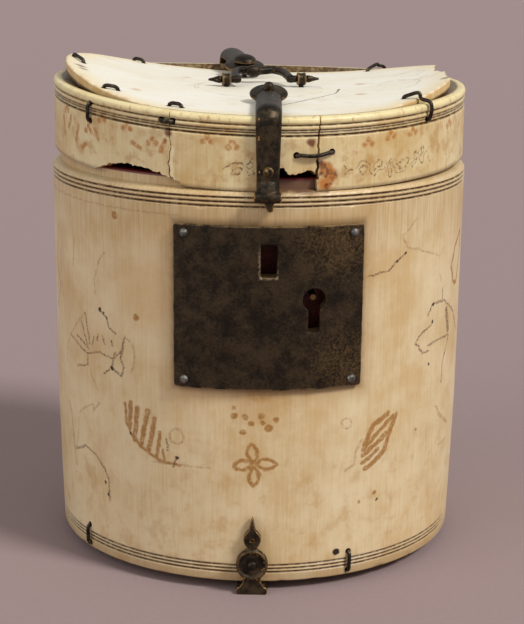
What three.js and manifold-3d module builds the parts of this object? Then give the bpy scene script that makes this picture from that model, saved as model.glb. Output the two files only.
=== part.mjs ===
// A round ivory box with a hinged lid, a lock plate, straps, a bail handle and wire mends.
// Millimetres, +Z up, the table is z = 0, the front is -Y. Angles are degrees round Z from the front.
import * as THREE from "three";
import { mergeVertices } from "three/addons/utils/BufferGeometryUtils.js";
import Module from "manifold-3d";

const wasm = await Module();
wasm.setup();

// Driving dimensions: clearances and resolution
const GAP = 0.3; // between neighbouring pieces
const HEAD_GAP = 0.15; // under a rivet's head
const ROUND_SEGMENTS = 48; // round the box
const RIVET_SEGMENTS = 10;

// Driving dimensions: the ivory box
const MOULDING_RADIUS = 55; // the box is 110 across at its moulding
const WALL_INSET_BOTTOM = 1.4; // the wall lies this far in from the moulding
const WALL_INSET_MIDDLE = 0.35;
const WALL_INSET_TOP = 0.07;
const WALL_THICKNESS = 4.0; // at the bottom
const NECK_INSET = 2.5;
const WALL_BOTTOM = 2.4; // the feet hold the ivory this far off the table
const WALL_HEIGHT = 95.7; // up to the moulding
const WALL_MIDDLE_SHARE = 0.372; // of that height
const BASE_GROOVE_HEIGHTS = [2.75, 3.65, 4.55]; // over the wall's lower edge
const MOULDING_HEIGHT = 3.1;
const MOULDING_GROOVE_HEIGHTS = [0.55, 1.6, 2.7]; // over the moulding's lower edge
const SHOULDER_HEIGHT = 1.4;
const NECK_HEIGHT = 2.6;
const GROOVE_DEPTH = 0.45;
const GROOVE_WIDTH = 0.5;
const BASE_THICKNESS = 3.8;
const BASE_REBATE = 1.1; // the base is let into the wall by this
const BASE_RECESS = 0.2;
const LINING_THICKNESS = 0.8;
const LINING_EDGE = 1.0; // the lining ends this far below the neck's top
const LINING_EDGE_ROOM = 1.6; // round the lining on the base, for the rivets' clenched ends

const WALL_RADIUS_BOTTOM = MOULDING_RADIUS - WALL_INSET_BOTTOM;
const WALL_RADIUS_MIDDLE = MOULDING_RADIUS - WALL_INSET_MIDDLE;
const WALL_RADIUS_TOP = MOULDING_RADIUS - WALL_INSET_TOP;
const WALL_INNER_RADIUS = WALL_RADIUS_BOTTOM - WALL_THICKNESS;
const NECK_RADIUS = MOULDING_RADIUS - NECK_INSET;
const BASE_RADIUS = WALL_INNER_RADIUS + BASE_REBATE;
const WALL_MIDDLE = WALL_BOTTOM + WALL_MIDDLE_SHARE * WALL_HEIGHT;
const MOULDING_BOTTOM = WALL_BOTTOM + WALL_HEIGHT;
const MOULDING_TOP = MOULDING_BOTTOM + MOULDING_HEIGHT;
const SHOULDER_TOP = MOULDING_TOP + SHOULDER_HEIGHT;
const NECK_TOP = SHOULDER_TOP + NECK_HEIGHT;
const BASE_GROOVES = BASE_GROOVE_HEIGHTS.map((height) => WALL_BOTTOM + height);
const MOULDING_GROOVES = MOULDING_GROOVE_HEIGHTS.map((height) => MOULDING_BOTTOM + height);
const LINING_TOP = NECK_TOP - LINING_EDGE;

// Driving dimensions: the lid's ring, as it measures at the front
const RING_INSET = 0.7; // from the moulding
const RING_THICKNESS = 5.7;
const RING_SEAT = 0.9; // the ring's lower edge over the moulding's top
const RING_HEIGHT = 17.85;
const RING_GROOVE_DEPTHS = [4.5, 3.75, 3.2, 2.0]; // under the ring's top
const RIM_PROJECTION = 0.1;
const SKIRT_ROOM = 0.6; // over the top of the neck
const RING_SIDE_RISE_BOTTOM = 2.2; // the ring has warped like a saddle
const RING_SIDE_RISE_TOP = 2.7;
const RING_BACK_RISE = 1.8;
const RING_TILT = 0.016; // lower at the right
const RING_RADIUS = MOULDING_RADIUS - RING_INSET;
const RING_INNER_RADIUS = RING_RADIUS - RING_THICKNESS;
const RING_BOTTOM = MOULDING_TOP + RING_SEAT;
const RING_TOP = RING_BOTTOM + RING_HEIGHT;
const RING_GROOVES = RING_GROOVE_DEPTHS.map((depth) => RING_TOP - depth);
const RIM_RADIUS = RING_RADIUS + RIM_PROJECTION;

// Driving dimensions: the lid's disc, bowed upwards at its left and right ends
const DISC_INSET = 3.1; // from the ring's outside
const DISC_THICKNESS = 3.0;
const DISC_PROUD = 1.05; // its middle over the ring's top
const DISC_BOW_LEFT = 7.0;
const DISC_BOW_RIGHT = 6.6;
const DISC_BOW_POWER = 2.7;
const DISC_CROWN = 1.2;
const DISC_TILT = 0.02;
const DISC_END_PITCH = 0.00045; // the two ends rise towards the back
const DISC_RADIUS = RING_RADIUS - DISC_INSET;
const DISC_CENTRE_TOP = RING_TOP + DISC_PROUD;

// Driving dimensions: the lock
const LOCK_ANGLE = 3.1;
const PLATE_HALF_ANGLE = 24.4;
const PLATE_DROP = 3.9; // below the moulding
const PLATE_HEIGHT = 40.7;
const PLATE_THICKNESS = 1.0;
const SLOT_LEFT = -2.15;
const SLOT_RIGHT = 1.7;
const SLOT_DROP = 4.5; // below the plate's upper edge
const SLOT_HEIGHT = 8;
const KEYHOLE_X = 10.8;
const KEYHOLE_DROP = 18.2;
const KEYHOLE_RADIUS = 2.8;
const KEYHOLE_SLOT_WIDTH = 2.8;
const KEYHOLE_LENGTH = 8; // from the eye's middle down
const PLATE_RIVET_ANGLE = 21.4;
const PLATE_RIVET_INSET = 2.1;
const SLOT_ROOM = 0.4; // the wall's openings are wider than the plate's by these
const KEYHOLE_ROOM = 0.6;
const CASE_DEPTH = 5.1; // from the lining to the case's middle
const BACK_PLATE_THICKNESS = 1.0;
const BACK_PLATE_HALF_ANGLE = 26;
const CASE_ROOM = 0.5; // round the bolt
const BOLT_HEIGHT = 5;
const BOLT_THICKNESS = 2.0;
const BOLT_TIP_CLEARANCE = 0.9; // from the slot's edge to the drawn bolt
const BOLT_OVERTHROW = 0.25; // the thrown bolt passes the slot's other edge by this
const BOLT_TAIL = 1.6; // and its guide by this
const TALON_INSET = 1.8;
const TALON_WIDTH = 2.4;
const TALON_DEPTH = 2.6;
const KEEPER_WIDTH = 1.6;
const KEEPER_OFFSET = 0.3; // from the drawn bolt's tip
const GUIDE_OFFSET = 3.2;
const GUIDE_THICKNESS = 0.9;
const POST_RADIUS = 0.8;
const POST_HEAD_RADIUS = 1.5;
const POST_TIP_DEPTH = 2.4; // into the wall

const PLATE_TOP = MOULDING_BOTTOM - PLATE_DROP;
const PLATE_BOTTOM = PLATE_TOP - PLATE_HEIGHT;
const SLOT_TOP = PLATE_TOP - SLOT_DROP;
const SLOT_BOTTOM = SLOT_TOP - SLOT_HEIGHT;
const KEYHOLE_Z = PLATE_TOP - KEYHOLE_DROP;
const KEYHOLE_BOTTOM = KEYHOLE_Z - KEYHOLE_LENGTH;
const BOLT_Z = (SLOT_BOTTOM + SLOT_TOP) / 2;
const POST_TIP = WALL_INNER_RADIUS + POST_TIP_DEPTH;

// Driving dimensions: rivets and nails, by the radii and the head's height
const PLATE_RIVET = { head: 1.1, rise: 0.9, shank: 0.6 };
const FOOT_RIVET = { head: 1.3, rise: 1.1, shank: 0.7 };
const LEAF_RIVET = { head: 1.4, rise: 1.0, shank: 0.7 };
const STRAP_RIVET = { head: 1.25, rise: 0.8, shank: 0.7 };
const NAIL_RADIUS = 0.7;
const NAIL_HEAD_SEGMENTS = 14;
const FOOT_NAIL_HOLE_RADIUS = 0.45;

// Driving dimensions: feet, straps, hinge and handle
const FOOT_ANGLES = [-0.6, 119.4, 239.4];
const FOOT_CLEARANCE = 0.6; // behind the foot, for the wall's curve
const FOOT_THICKNESS = 1.5;
const FOOT_HALF_WIDTH = 3.9;
const FOOT_DISC_RADIUS = 4.0;
const FOOT_DISC_Z = 8;
const FOOT_TIP_Z = 20.6;
const FOOT_PAD_HEIGHT = WALL_BOTTOM - GAP;
const FOOT_PAD_REACH = BASE_RADIUS + GAP; // the pads reach under the wall, and not under the base
const STRAP_WIDTH = 6.4;
const STRAP_DEPTH = 2.9;
const STRAP_SEAT = 0.35; // between a strap and the ring
const LIP_RADIUS = 1.3;
const DISH_RISE = 1.3; // of a dished terminal, at its middle
const STRAP_START = 3; // a strip starts this far out from the middle of its dish
const FRONT_TERMINAL_INSET = 20.7; // from the disc's edge
const FRONT_RIVET_RISE = 5.4; // over the ring's lower edge
const FRONT_STRAP = {
  turn: 0,
  shift: 2.35, // it runs straight from front to back, a little to the right
  angle: 2.4, // of its rivet
  terminalOut: DISC_RADIUS - FRONT_TERMINAL_INSET,
  terminalRise: 2.25,
  terminalRadius: 4.8,
  lean: 20, // of its terminal, outwards
  nailHead: { radius: 1.35, rise: 1.7 },
  rivetZ: RING_BOTTOM + FRONT_RIVET_RISE,
};
const HINGE_ANGLE = 189.4;
const REAR_TERMINAL_INSET = 24.2;
const REAR_RIVET_RISE = 9.4;
const TONGUE_RISE = 2.4; // the tongue's top over the ring's lower edge
const REAR_STRAP = {
  turn: HINGE_ANGLE,
  shift: 0,
  angle: HINGE_ANGLE,
  terminalOut: DISC_RADIUS - REAR_TERMINAL_INSET,
  terminalRise: 3.15,
  terminalRadius: 5.6,
  lean: -13,
  nailHead: { radius: 3.2, rise: 1.6 },
  rivetZ: RING_BOTTOM + REAR_RIVET_RISE,
};
const HINGE_PIN_RADIUS = 0.85;
const HINGE_PIN_Z = MOULDING_TOP - 0.2;
const KNUCKLE_RADIUS = 2.2;
const KNUCKLE_WIDTH = 2.2;
const KNUCKLE_ROOM = 0.6; // between the knuckles and the moulding
const LEAF_DEPTH = 1.7;
const LEAF_END_RADIUS = 4.2;
const LEAF_RIVETS_Z = [17.6, 7.1].map((drop) => MOULDING_BOTTOM - drop);
const BAIL_AXIS_ANGLE = 9;
const BAIL_AXIS_X = 1.1;
const BAIL_AXIS_Y = 0.5;
const BAIL_AXIS_HEIGHT = 2.05; // above the disc
const BAIL_EYE_SPACING = 20.2;
const BAIL_LEAN = 6; // lies this far above level
const BAIL_TIP_LENGTH = 3.35; // past its eyes
const BAIL_REACH = 10.4;
const BAIL_ARM_RADIUS = 1.1;
const BAIL_BOSS_SHIFT = -1.2; // along the axis
const EYE_OUTER_RADIUS = 1.7;
const EYE_INNER_RADIUS = 1.05;
const EYE_WIDTH = 2.3;
const EYE_SHANK_RADIUS = 0.7;
const CLENCH_RADIUS = 1.2;
const CLENCH_HEIGHT = 0.8;

// Driving dimensions: wire mends
const WIRE_RADIUS = 0.5;
const WIRE_BEND = 0.9;
const BEND_START = 0.2; // a leg starts to bend this far under the surface
const RING_LEG = 3.6;
const DISC_LEG = 3.9;
const RIM_WIRE_INSET = 4.4; // from the disc's edge to the wire's hole
const BASE_STAPLE_ANGLES = [-54, 26.3, 100, -150];
const BASE_STAPLE_LENGTH = 5.1;
const BASE_STAPLE_LOW = WALL_BOTTOM + 1.4;
const BASE_STAPLE_HIGH = BASE_STAPLE_LOW + BASE_STAPLE_LENGTH;
const BASE_STAPLE_LEG = 4.6;

// Derived places that several pieces share
const CUT_PAST = 3; // cutters run this far past what they cut
const OUTSIDE = MOULDING_RADIUS + 7; // beyond every wall and plate
const LINING_RADIUS = WALL_INNER_RADIUS - GAP;
const LINING_INNER = LINING_RADIUS - LINING_THICKNESS;
const FLOOR = WALL_BOTTOM + BASE_THICKNESS + GAP;
const CASE_SEAT = LINING_INNER - GAP; // the lock case's flanges lie here
const BACK_PLATE_DEPTH = LINING_INNER - CASE_DEPTH; // its middle's face towards the wall
const FOOT_BACK = wallRadius(FOOT_DISC_Z) + FOOT_CLEARANCE;
const LEAF_BACK = WALL_RADIUS_TOP + GAP; // clears the wall all the way up to the moulding
const RING_FACE = RING_RADIUS + STRAP_SEAT;
const STRAP_FOOT = Math.max(MOULDING_RADIUS, RING_FACE) + KNUCKLE_ROOM;
const HINGE_PIN_OUT = STRAP_FOOT + KNUCKLE_RADIUS;

// Materials
const material = (color, roughness, metalness) =>
  new THREE.MeshStandardMaterial({ color, roughness, metalness });
const IVORY = material(0xe9dcbc, 0.45, 0);
const LID_IVORY = material(0xf1e8d2, 0.45, 0);
const LEATHER = material(0x4a1718, 0.8, 0);
const PLATE_METAL = material(0x564937, 0.5, 0.8);
const BRONZE = material(0x463f31, 0.45, 0.85);
const IRON = material(0x3a3733, 0.55, 0.8);
const RIVET_METAL = material(0x6c6a66, 0.4, 0.85);

// Solids and geometries
function toSolid(geometry) {
  const bare = new THREE.BufferGeometry();
  bare.setAttribute("position", geometry.getAttribute("position"));
  bare.setIndex(geometry.index);
  const merged = mergeVertices(bare, 1e-4);
  return new wasm.Manifold(
    new wasm.Mesh({
      numProp: 3,
      vertProperties: merged.attributes.position.array,
      triVerts: new Uint32Array(merged.index.array),
    }),
  );
}

function toGeometry(solid) {
  const mesh = solid.getMesh();
  const geometry = new THREE.BufferGeometry();
  const positions = new Float32Array(mesh.vertProperties);
  geometry.setAttribute("position", new THREE.BufferAttribute(positions, 3));
  geometry.setIndex(new THREE.BufferAttribute(new Uint32Array(mesh.triVerts), 1));
  const flat = geometry.toNonIndexed();
  flat.computeVertexNormals();
  return flat;
}

const join = (solids) => solids.reduce((whole, next) => whole.add(next));
const cut = (solid, tools) => tools.reduce((left, tool) => left.subtract(tool), solid);
const degrees = THREE.MathUtils.degToRad;

// A point at an angle, a distance from the box's axis and a height.
function at(angle, out, z) {
  const a = degrees(angle);
  return new THREE.Vector3(out * Math.sin(a), -out * Math.cos(a), z);
}

// A local frame at such a point: X runs round the box, Y up and Z outwards.
function radialFrame(angle, out, z) {
  const turn = new THREE.Matrix4().makeRotationZ(degrees(angle));
  const shift = new THREE.Matrix4().makeTranslation(0, -out, z);
  const tip = new THREE.Matrix4().makeRotationX(Math.PI / 2);
  return turn.multiply(shift).multiply(tip);
}

const turnAbout = (angle) => new THREE.Matrix4().makeRotationZ(degrees(angle));
const translation = (x, y, z) => new THREE.Matrix4().makeTranslation(x, y, z);
const moved = (geometry, matrix) => geometry.clone().applyMatrix4(matrix);

// A profile of [radius, height] points, running up its outer side, turned about Z.
function turned(profile, segments = ROUND_SEGMENTS) {
  const points = profile.map(([radius, z]) => new THREE.Vector2(radius, z));
  if (profile[0][0] > 0) points.push(points[0].clone());
  return new THREE.LatheGeometry(points, segments).rotateX(Math.PI / 2);
}

function box(x0, x1, y0, y1, z0, z1) {
  const geometry = new THREE.BoxGeometry(x1 - x0, y1 - y0, z1 - z0);
  return geometry.translate((x0 + x1) / 2, (y0 + y1) / 2, (z0 + z1) / 2);
}

// A round bar along Z.
function bar(radius, z0, z1, segments = RIVET_SEGMENTS) {
  return turned([[0, z0], [radius, z0], [radius, z1], [0, z1]], segments);
}

function outline(points) {
  return new THREE.Shape(points.map(([x, y]) => new THREE.Vector2(x, y)));
}

// A section swept along a smooth curve through points, in steps of about the length given.
function sweep(points, section, stepLength) {
  const path = new THREE.CatmullRomCurve3(points, false, "centripetal");
  const steps = Math.round(path.getLength() / stepLength);
  return new THREE.ExtrudeGeometry(section, { steps, bevelEnabled: false, extrudePath: path });
}

function circle(radius, sides) {
  const corners = [];
  for (let i = 0; i < sides; i++) {
    const a = (2 * Math.PI * i) / sides;
    corners.push([radius * Math.cos(a), radius * Math.sin(a)]);
  }
  return outline(corners);
}

// V grooves cut side by side into a turned profile, with a ridge between neighbours.
function grooved(radiusAt, heights) {
  const first = heights[0] - GROOVE_WIDTH / 2;
  const last = heights[heights.length - 1] + GROOVE_WIDTH / 2;
  const points = [[radiusAt(first), first]];
  heights.forEach((z, i) => {
    if (i > 0) {
      const ridge = (heights[i - 1] + z) / 2;
      points.push([radiusAt(ridge), ridge]);
    }
    points.push([radiusAt(z) - GROOVE_DEPTH, z]);
  });
  points.push([radiusAt(last), last]);
  return points;
}

// The wall's outer radius below the moulding, a slightly barrelled taper.
function wallRadius(z) {
  if (z < WALL_MIDDLE) {
    const share = (z - WALL_BOTTOM) / (WALL_MIDDLE - WALL_BOTTOM);
    return WALL_RADIUS_BOTTOM + share * (WALL_RADIUS_MIDDLE - WALL_RADIUS_BOTTOM);
  }
  const share = (z - WALL_MIDDLE) / (MOULDING_BOTTOM - WALL_MIDDLE);
  return WALL_RADIUS_MIDDLE + share * (WALL_RADIUS_TOP - WALL_RADIUS_MIDDLE);
}

// How far a point of the ring has risen, from the height it would have at the front.
function ringWarp(x, y, z) {
  const share = (z - RING_BOTTOM) / (RING_TOP - RING_BOTTOM);
  const rise = THREE.MathUtils.lerp(RING_SIDE_RISE_BOTTOM, RING_SIDE_RISE_TOP, share);
  const side = rise * (x / RING_RADIUS) ** 2;
  const back = (RING_BACK_RISE * (1 + y / RING_RADIUS)) / 2;
  return side + back - RING_TILT * x;
}

// The height of the disc's upper face.
function discTop(x, y) {
  const share = x / DISC_RADIUS;
  const bow = Math.abs(share) ** DISC_BOW_POWER * (x < 0 ? DISC_BOW_LEFT : DISC_BOW_RIGHT);
  const crown = DISC_CROWN * (y / DISC_RADIUS) ** 2;
  const pitch = DISC_END_PITCH * Math.abs(x) * y;
  return DISC_CENTRE_TOP + bow - crown + pitch - DISC_TILT * x;
}

// A disc whose faces follow the warped lid, raised and deepened by the values given.
function warpedDisc(radius, raise, deepen) {
  const rings = [0, 0.3, 0.56, 0.76, 0.9, 1].map((share) => share * radius);
  const below = rings.map((r) => [r, -1]);
  const above = rings.map((r) => [r, 1]).reverse();
  const geometry = turned([...below, ...above]);
  const p = geometry.getAttribute("position");
  for (let i = 0; i < p.count; i++) {
    const top = discTop(p.getX(i), p.getY(i));
    p.setZ(i, p.getZ(i) > 0 ? top + raise : top - deepen);
  }
  return geometry;
}

// A plate bent round the box between two angles and two heights.
function curvedPlate(from, to, bottom, top, inner, outer, columns, rows) {
  const positions = [];
  const index = [];
  const corner = (i, j, k) => (i * (rows + 1) + j) * 2 + k;
  for (let i = 0; i <= columns; i++) {
    for (let j = 0; j <= rows; j++) {
      const angle = from + ((to - from) * i) / columns;
      const z = bottom + ((top - bottom) * j) / rows;
      positions.push(...at(angle, inner(z), z), ...at(angle, outer(z), z));
    }
  }
  const face = (a, b, c, d) => index.push(a, b, c, a, c, d);
  for (let i = 0; i < columns; i++) {
    for (let j = 0; j < rows; j++) {
      face(corner(i, j, 1), corner(i + 1, j, 1), corner(i + 1, j + 1, 1), corner(i, j + 1, 1));
      face(corner(i, j, 0), corner(i, j + 1, 0), corner(i + 1, j + 1, 0), corner(i + 1, j, 0));
    }
    face(corner(i, 0, 0), corner(i + 1, 0, 0), corner(i + 1, 0, 1), corner(i, 0, 1));
    face(corner(i, rows, 1), corner(i + 1, rows, 1), corner(i + 1, rows, 0), corner(i, rows, 0));
  }
  for (let j = 0; j < rows; j++) {
    face(corner(0, j, 0), corner(0, j, 1), corner(0, j + 1, 1), corner(0, j + 1, 0));
    face(
      corner(columns, j, 1),
      corner(columns, j, 0),
      corner(columns, j + 1, 0),
      corner(columns, j + 1, 1),
    );
  }
  const geometry = new THREE.BufferGeometry();
  geometry.setAttribute("position", new THREE.Float32BufferAttribute(positions, 3));
  geometry.setIndex(index);
  return geometry;
}

// A cutting tool whose outline is given in [angle, height], running from one radius to another.
function radialCutter(points, from, to) {
  const shape = outline(points);
  const geometry = new THREE.ExtrudeGeometry(shape, { depth: to - from, bevelEnabled: false });
  const p = geometry.getAttribute("position");
  for (let i = 0; i < p.count; i++) {
    p.setXYZ(i, ...at(p.getX(i), from + p.getZ(i), p.getY(i)));
  }
  return toSolid(geometry);
}

// Pieces: every piece is one named mesh in the group of the body that carries it
const root = new THREE.Group();
const boxGroup = new THREE.Group();
const lidGroup = new THREE.Group();
const bailGroup = new THREE.Group();
const boltGroup = new THREE.Group();
root.add(boxGroup, boltGroup, lidGroup);
lidGroup.add(bailGroup);

function addPiece(group, name, shape, look, matrix) {
  const solid = shape instanceof THREE.BufferGeometry ? toSolid(shape) : shape;
  const mesh = new THREE.Mesh(toGeometry(solid), look);
  mesh.name = name;
  if (matrix) mesh.applyMatrix4(matrix);
  group.add(mesh);
}

// A rivet along local Z: its head stands on z = 0 and its clenched end lies under z = -grip.
function rivet({ head, rise, shank }, grip) {
  const clench = 1.6 * shank;
  const foot = -grip - HEAD_GAP;
  return turned(
    [
      [0, foot - 0.7],
      [clench * 0.8, foot - 0.7],
      [clench, foot],
      [shank, foot],
      [shank, HEAD_GAP],
      [head, HEAD_GAP],
      [head * 0.9, HEAD_GAP + rise * 0.45],
      [head * 0.55, HEAD_GAP + rise * 0.85],
      [0, HEAD_GAP + rise],
    ],
    RIVET_SEGMENTS,
  );
}

// A rivet's place, from the radius under its head to the radius where it is clenched.
function rivetPlace(angle, out, z, inner) {
  return { frame: radialFrame(angle, out, z), grip: out - inner };
}

const rivetHoles = (places, { shank }) =>
  places.map(({ frame, grip }) =>
    toSolid(moved(bar(shank + GAP, -grip - CUT_PAST, CUT_PAST), frame)),
  );

// A bore through a piece that is modelled at the front, from its inner side outwards.
const frontBore = (radius, inner, z, segments) =>
  toSolid(bar(radius, inner, OUTSIDE, segments).rotateX(Math.PI / 2).translate(0, 0, z));

// A wire is a list of points for its middle line, and the straight legs that need holes.
const WIRE_LIFT = WIRE_BEND - BEND_START;
const WIRE_STEP = 0.9;

// The points of a leg that enters at a point, and of its bend towards along.
function legPoints(entry, into, along, length) {
  const halfTurn = WIRE_BEND * Math.SQRT1_2;
  const point = (inwards, sideways) =>
    entry.clone().addScaledVector(into, inwards).addScaledVector(along, sideways);
  return [
    point(length, 0),
    point(BEND_START, 0),
    point(BEND_START - halfTurn, WIRE_BEND - halfTurn),
    point(-WIRE_LIFT, WIRE_BEND),
  ];
}

function staple(a, b, into, length, bulge = 0) {
  const along = b.clone().sub(a).normalize();
  const crown = a.clone().lerp(b, 0.5).addScaledVector(into, -WIRE_LIFT - bulge);
  const first = legPoints(a, into, along, length);
  const last = legPoints(b, into, along.clone().negate(), length).reverse();
  return {
    points: [...first, crown, ...last],
    legs: [[first[0], a], [last[3], b]],
  };
}

const wire = ({ points }) => toSolid(sweep(points, circle(WIRE_RADIUS, 6), WIRE_STEP));

// A straight hole along a leg, from past its end to above the surface.
function legHole([end, entry]) {
  const axis = entry.clone().sub(end);
  const length = axis.length();
  const hole = bar(WIRE_RADIUS + GAP, -GAP, length + WIRE_LIFT + WIRE_RADIUS, 6);
  const turn = new THREE.Quaternion().setFromUnitVectors(new THREE.Vector3(0, 0, 1), axis.normalize());
  return toSolid(hole.applyQuaternion(turn).translate(end.x, end.y, end.z));
}

const wireHoles = (wires) => wires.flatMap(({ legs }) => legs.map(legHole));

// The cutters that several pieces share
const lockFrame = turnAbout(LOCK_ANGLE);
const inLock = (geometry) => toSolid(moved(geometry, lockFrame));

function slotCutter(room, innerReach) {
  return inLock(
    box(SLOT_LEFT - room, SLOT_RIGHT + room, -OUTSIDE, -innerReach, SLOT_BOTTOM - room, SLOT_TOP + room),
  );
}

function keyholeCutter(room, innerReach) {
  const half = KEYHOLE_SLOT_WIDTH / 2 + room;
  const eye = bar(KEYHOLE_RADIUS + room, innerReach, OUTSIDE, 16)
    .rotateX(Math.PI / 2)
    .translate(KEYHOLE_X, 0, KEYHOLE_Z);
  const slot = box(
    KEYHOLE_X - half,
    KEYHOLE_X + half,
    -OUTSIDE,
    -innerReach,
    KEYHOLE_BOTTOM - room,
    KEYHOLE_Z,
  );
  return inLock(eye).add(inLock(slot));
}

const plateRivets = [];
for (const side of [-1, 1]) {
  for (const z of [PLATE_TOP - PLATE_RIVET_INSET, PLATE_BOTTOM + PLATE_RIVET_INSET]) {
    const angle = LOCK_ANGLE + side * PLATE_RIVET_ANGLE;
    const out = wallRadius(z) + GAP + PLATE_THICKNESS;
    plateRivets.push(rivetPlace(angle, out, z, CASE_SEAT - BACK_PLATE_THICKNESS));
  }
}
const plateRivetHoles = rivetHoles(plateRivets, PLATE_RIVET);

const footRivets = FOOT_ANGLES.map((angle) =>
  rivetPlace(angle, FOOT_BACK + FOOT_THICKNESS, FOOT_DISC_Z, LINING_INNER),
);

const leafRivets = LEAF_RIVETS_Z.map((z) =>
  rivetPlace(HINGE_ANGLE, LEAF_BACK + LEAF_DEPTH, z, LINING_INNER),
);

const baseStaples = BASE_STAPLE_ANGLES.map((angle) => {
  const low = at(angle, wallRadius(BASE_STAPLE_LOW), BASE_STAPLE_LOW);
  const high = at(angle, wallRadius(BASE_STAPLE_HIGH), BASE_STAPLE_HIGH);
  return staple(low, high, at(angle + 180, 1, 0), BASE_STAPLE_LEG);
});
const baseStapleHoles = wireHoles(baseStaples);

// Everything that passes through the wall and its lining
const wallHoles = [
  slotCutter(SLOT_ROOM, LINING_INNER - CUT_PAST),
  keyholeCutter(KEYHOLE_ROOM, LINING_INNER - CUT_PAST),
  ...plateRivetHoles,
  ...rivetHoles(footRivets, FOOT_RIVET),
  ...rivetHoles(leafRivets, LEAF_RIVET),
  ...baseStapleHoles,
];

// The ivory box: a turned wall with a rebate for its base
function wall() {
  const chamfer = 0.5;
  const shoulder = (inwards, upwards) => [
    THREE.MathUtils.lerp(MOULDING_RADIUS, NECK_RADIUS, inwards),
    THREE.MathUtils.lerp(MOULDING_TOP, SHOULDER_TOP, upwards),
  ];
  const profile = [
    [BASE_RADIUS + GAP, WALL_BOTTOM],
    [WALL_RADIUS_BOTTOM - chamfer, WALL_BOTTOM],
    [wallRadius(WALL_BOTTOM + chamfer), WALL_BOTTOM + chamfer],
    ...grooved(wallRadius, BASE_GROOVES),
    [wallRadius(WALL_MIDDLE), WALL_MIDDLE],
    [WALL_RADIUS_TOP, MOULDING_BOTTOM],
    [MOULDING_RADIUS, MOULDING_BOTTOM + 0.3],
    ...grooved(() => MOULDING_RADIUS, MOULDING_GROOVES),
    shoulder(0.04, 0),
    shoulder(0.24, 0.23),
    shoulder(0.6, 0.66),
    shoulder(1, 1),
    [NECK_RADIUS, NECK_TOP - chamfer],
    [NECK_RADIUS - chamfer, NECK_TOP],
    [WALL_INNER_RADIUS, NECK_TOP],
    [WALL_INNER_RADIUS, FLOOR],
    [BASE_RADIUS + GAP, FLOOR],
  ];
  return cut(toSolid(turned(profile)), wallHoles);
}

// Its underside lies a little above the wall's, so the wall's edge and the feet take the wear.
function baseDisc() {
  const bottom = WALL_BOTTOM + BASE_RECESS;
  const top = WALL_BOTTOM + BASE_THICKNESS;
  const blank = turned([[0, bottom], [BASE_RADIUS, bottom], [BASE_RADIUS, top], [0, top]]);
  return cut(toSolid(blank), baseStapleHoles);
}

function wallLining() {
  const profile = [
    [LINING_INNER, FLOOR],
    [LINING_RADIUS, FLOOR],
    [LINING_RADIUS, LINING_TOP],
    [LINING_INNER, LINING_TOP],
  ];
  return cut(toSolid(turned(profile)), wallHoles);
}

function baseLining() {
  const radius = LINING_INNER - LINING_EDGE_ROOM;
  const top = FLOOR + LINING_THICKNESS;
  return turned([[0, FLOOR], [radius, FLOOR], [radius, top], [0, top]]);
}

addPiece(boxGroup, "body_wall", wall(), IVORY);
addPiece(boxGroup, "base_disc", baseDisc(), IVORY);
addPiece(boxGroup, "wall_lining", wallLining(), LEATHER);
addPiece(boxGroup, "base_lining", baseLining(), LEATHER);
baseStaples.forEach((mend, i) => {
  addPiece(boxGroup, `base_staple_${i + 1}`, wire(mend), IRON);
});

// The lock: a curved plate outside, and a bolt in a shallow case inside
function lockPlate() {
  const from = LOCK_ANGLE - PLATE_HALF_ANGLE;
  const to = LOCK_ANGLE + PLATE_HALF_ANGLE;
  const inner = (z) => wallRadius(z) + GAP;
  const outer = (z) => inner(z) + PLATE_THICKNESS;
  const blank = curvedPlate(from, to, PLATE_BOTTOM, PLATE_TOP, inner, outer, 12, 2);
  return cut(toSolid(blank), [
    slotCutter(0, WALL_INNER_RADIUS),
    keyholeCutter(0, WALL_INNER_RADIUS),
    ...plateRivetHoles,
  ]);
}

const BOLT_TRAVEL = SLOT_RIGHT - SLOT_LEFT + BOLT_TIP_CLEARANCE + BOLT_OVERTHROW;
const BOLT_BACK = BACK_PLATE_DEPTH + GAP;
const BOLT_FRONT = BOLT_BACK + BOLT_THICKNESS;
const BOLT_LEFT = SLOT_RIGHT + BOLT_TIP_CLEARANCE;
const BOLT_RIGHT = BOLT_LEFT + GUIDE_OFFSET + KEEPER_WIDTH + BOLT_TRAVEL + BOLT_TAIL;

// The case is hat-shaped: its flanges lie on the lining and its middle stands off it.
function lockCase() {
  const flangeInner = CASE_SEAT - BACK_PLATE_THICKNESS;
  const stepX = BOLT_RIGHT + CASE_ROOM;
  const arc = (out, angles) => angles.map((a) => at(a, out, 0)).map((p) => [p.x, p.y]);
  const near = THREE.MathUtils.radToDeg(Math.asin((stepX + 0.4) / CASE_SEAT));
  const far = BACK_PLATE_HALF_ANGLE;
  const middle = (far + near) / 2;
  const faceY = -BACK_PLATE_DEPTH;
  const backY = faceY + BACK_PLATE_THICKNESS;
  const right = [
    [stepX, faceY],
    ...arc(CASE_SEAT, [near, middle, far]),
    ...arc(flangeInner, [far, middle, near + 1.6]),
    [stepX + 0.9, backY],
  ];
  const left = right.map(([x, y]) => [-x, y]).reverse();
  const shape = outline([...right, ...left]);
  const height = PLATE_TOP - PLATE_BOTTOM;
  const blank = new THREE.ExtrudeGeometry(shape, { depth: height, bevelEnabled: false });
  blank.translate(0, 0, PLATE_BOTTOM);
  const postHole = postBar(POST_RADIUS + GAP, BACK_PLATE_DEPTH - CUT_PAST, POST_TIP);
  return cut(inLock(blank), [...plateRivetHoles, postHole]);
}

// A bar of the key's post, between two distances from the box's axis.
function postBar(radius, from, to) {
  return inLock(bar(radius, from, to).rotateX(Math.PI / 2).translate(KEYHOLE_X, 0, KEYHOLE_Z));
}

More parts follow.
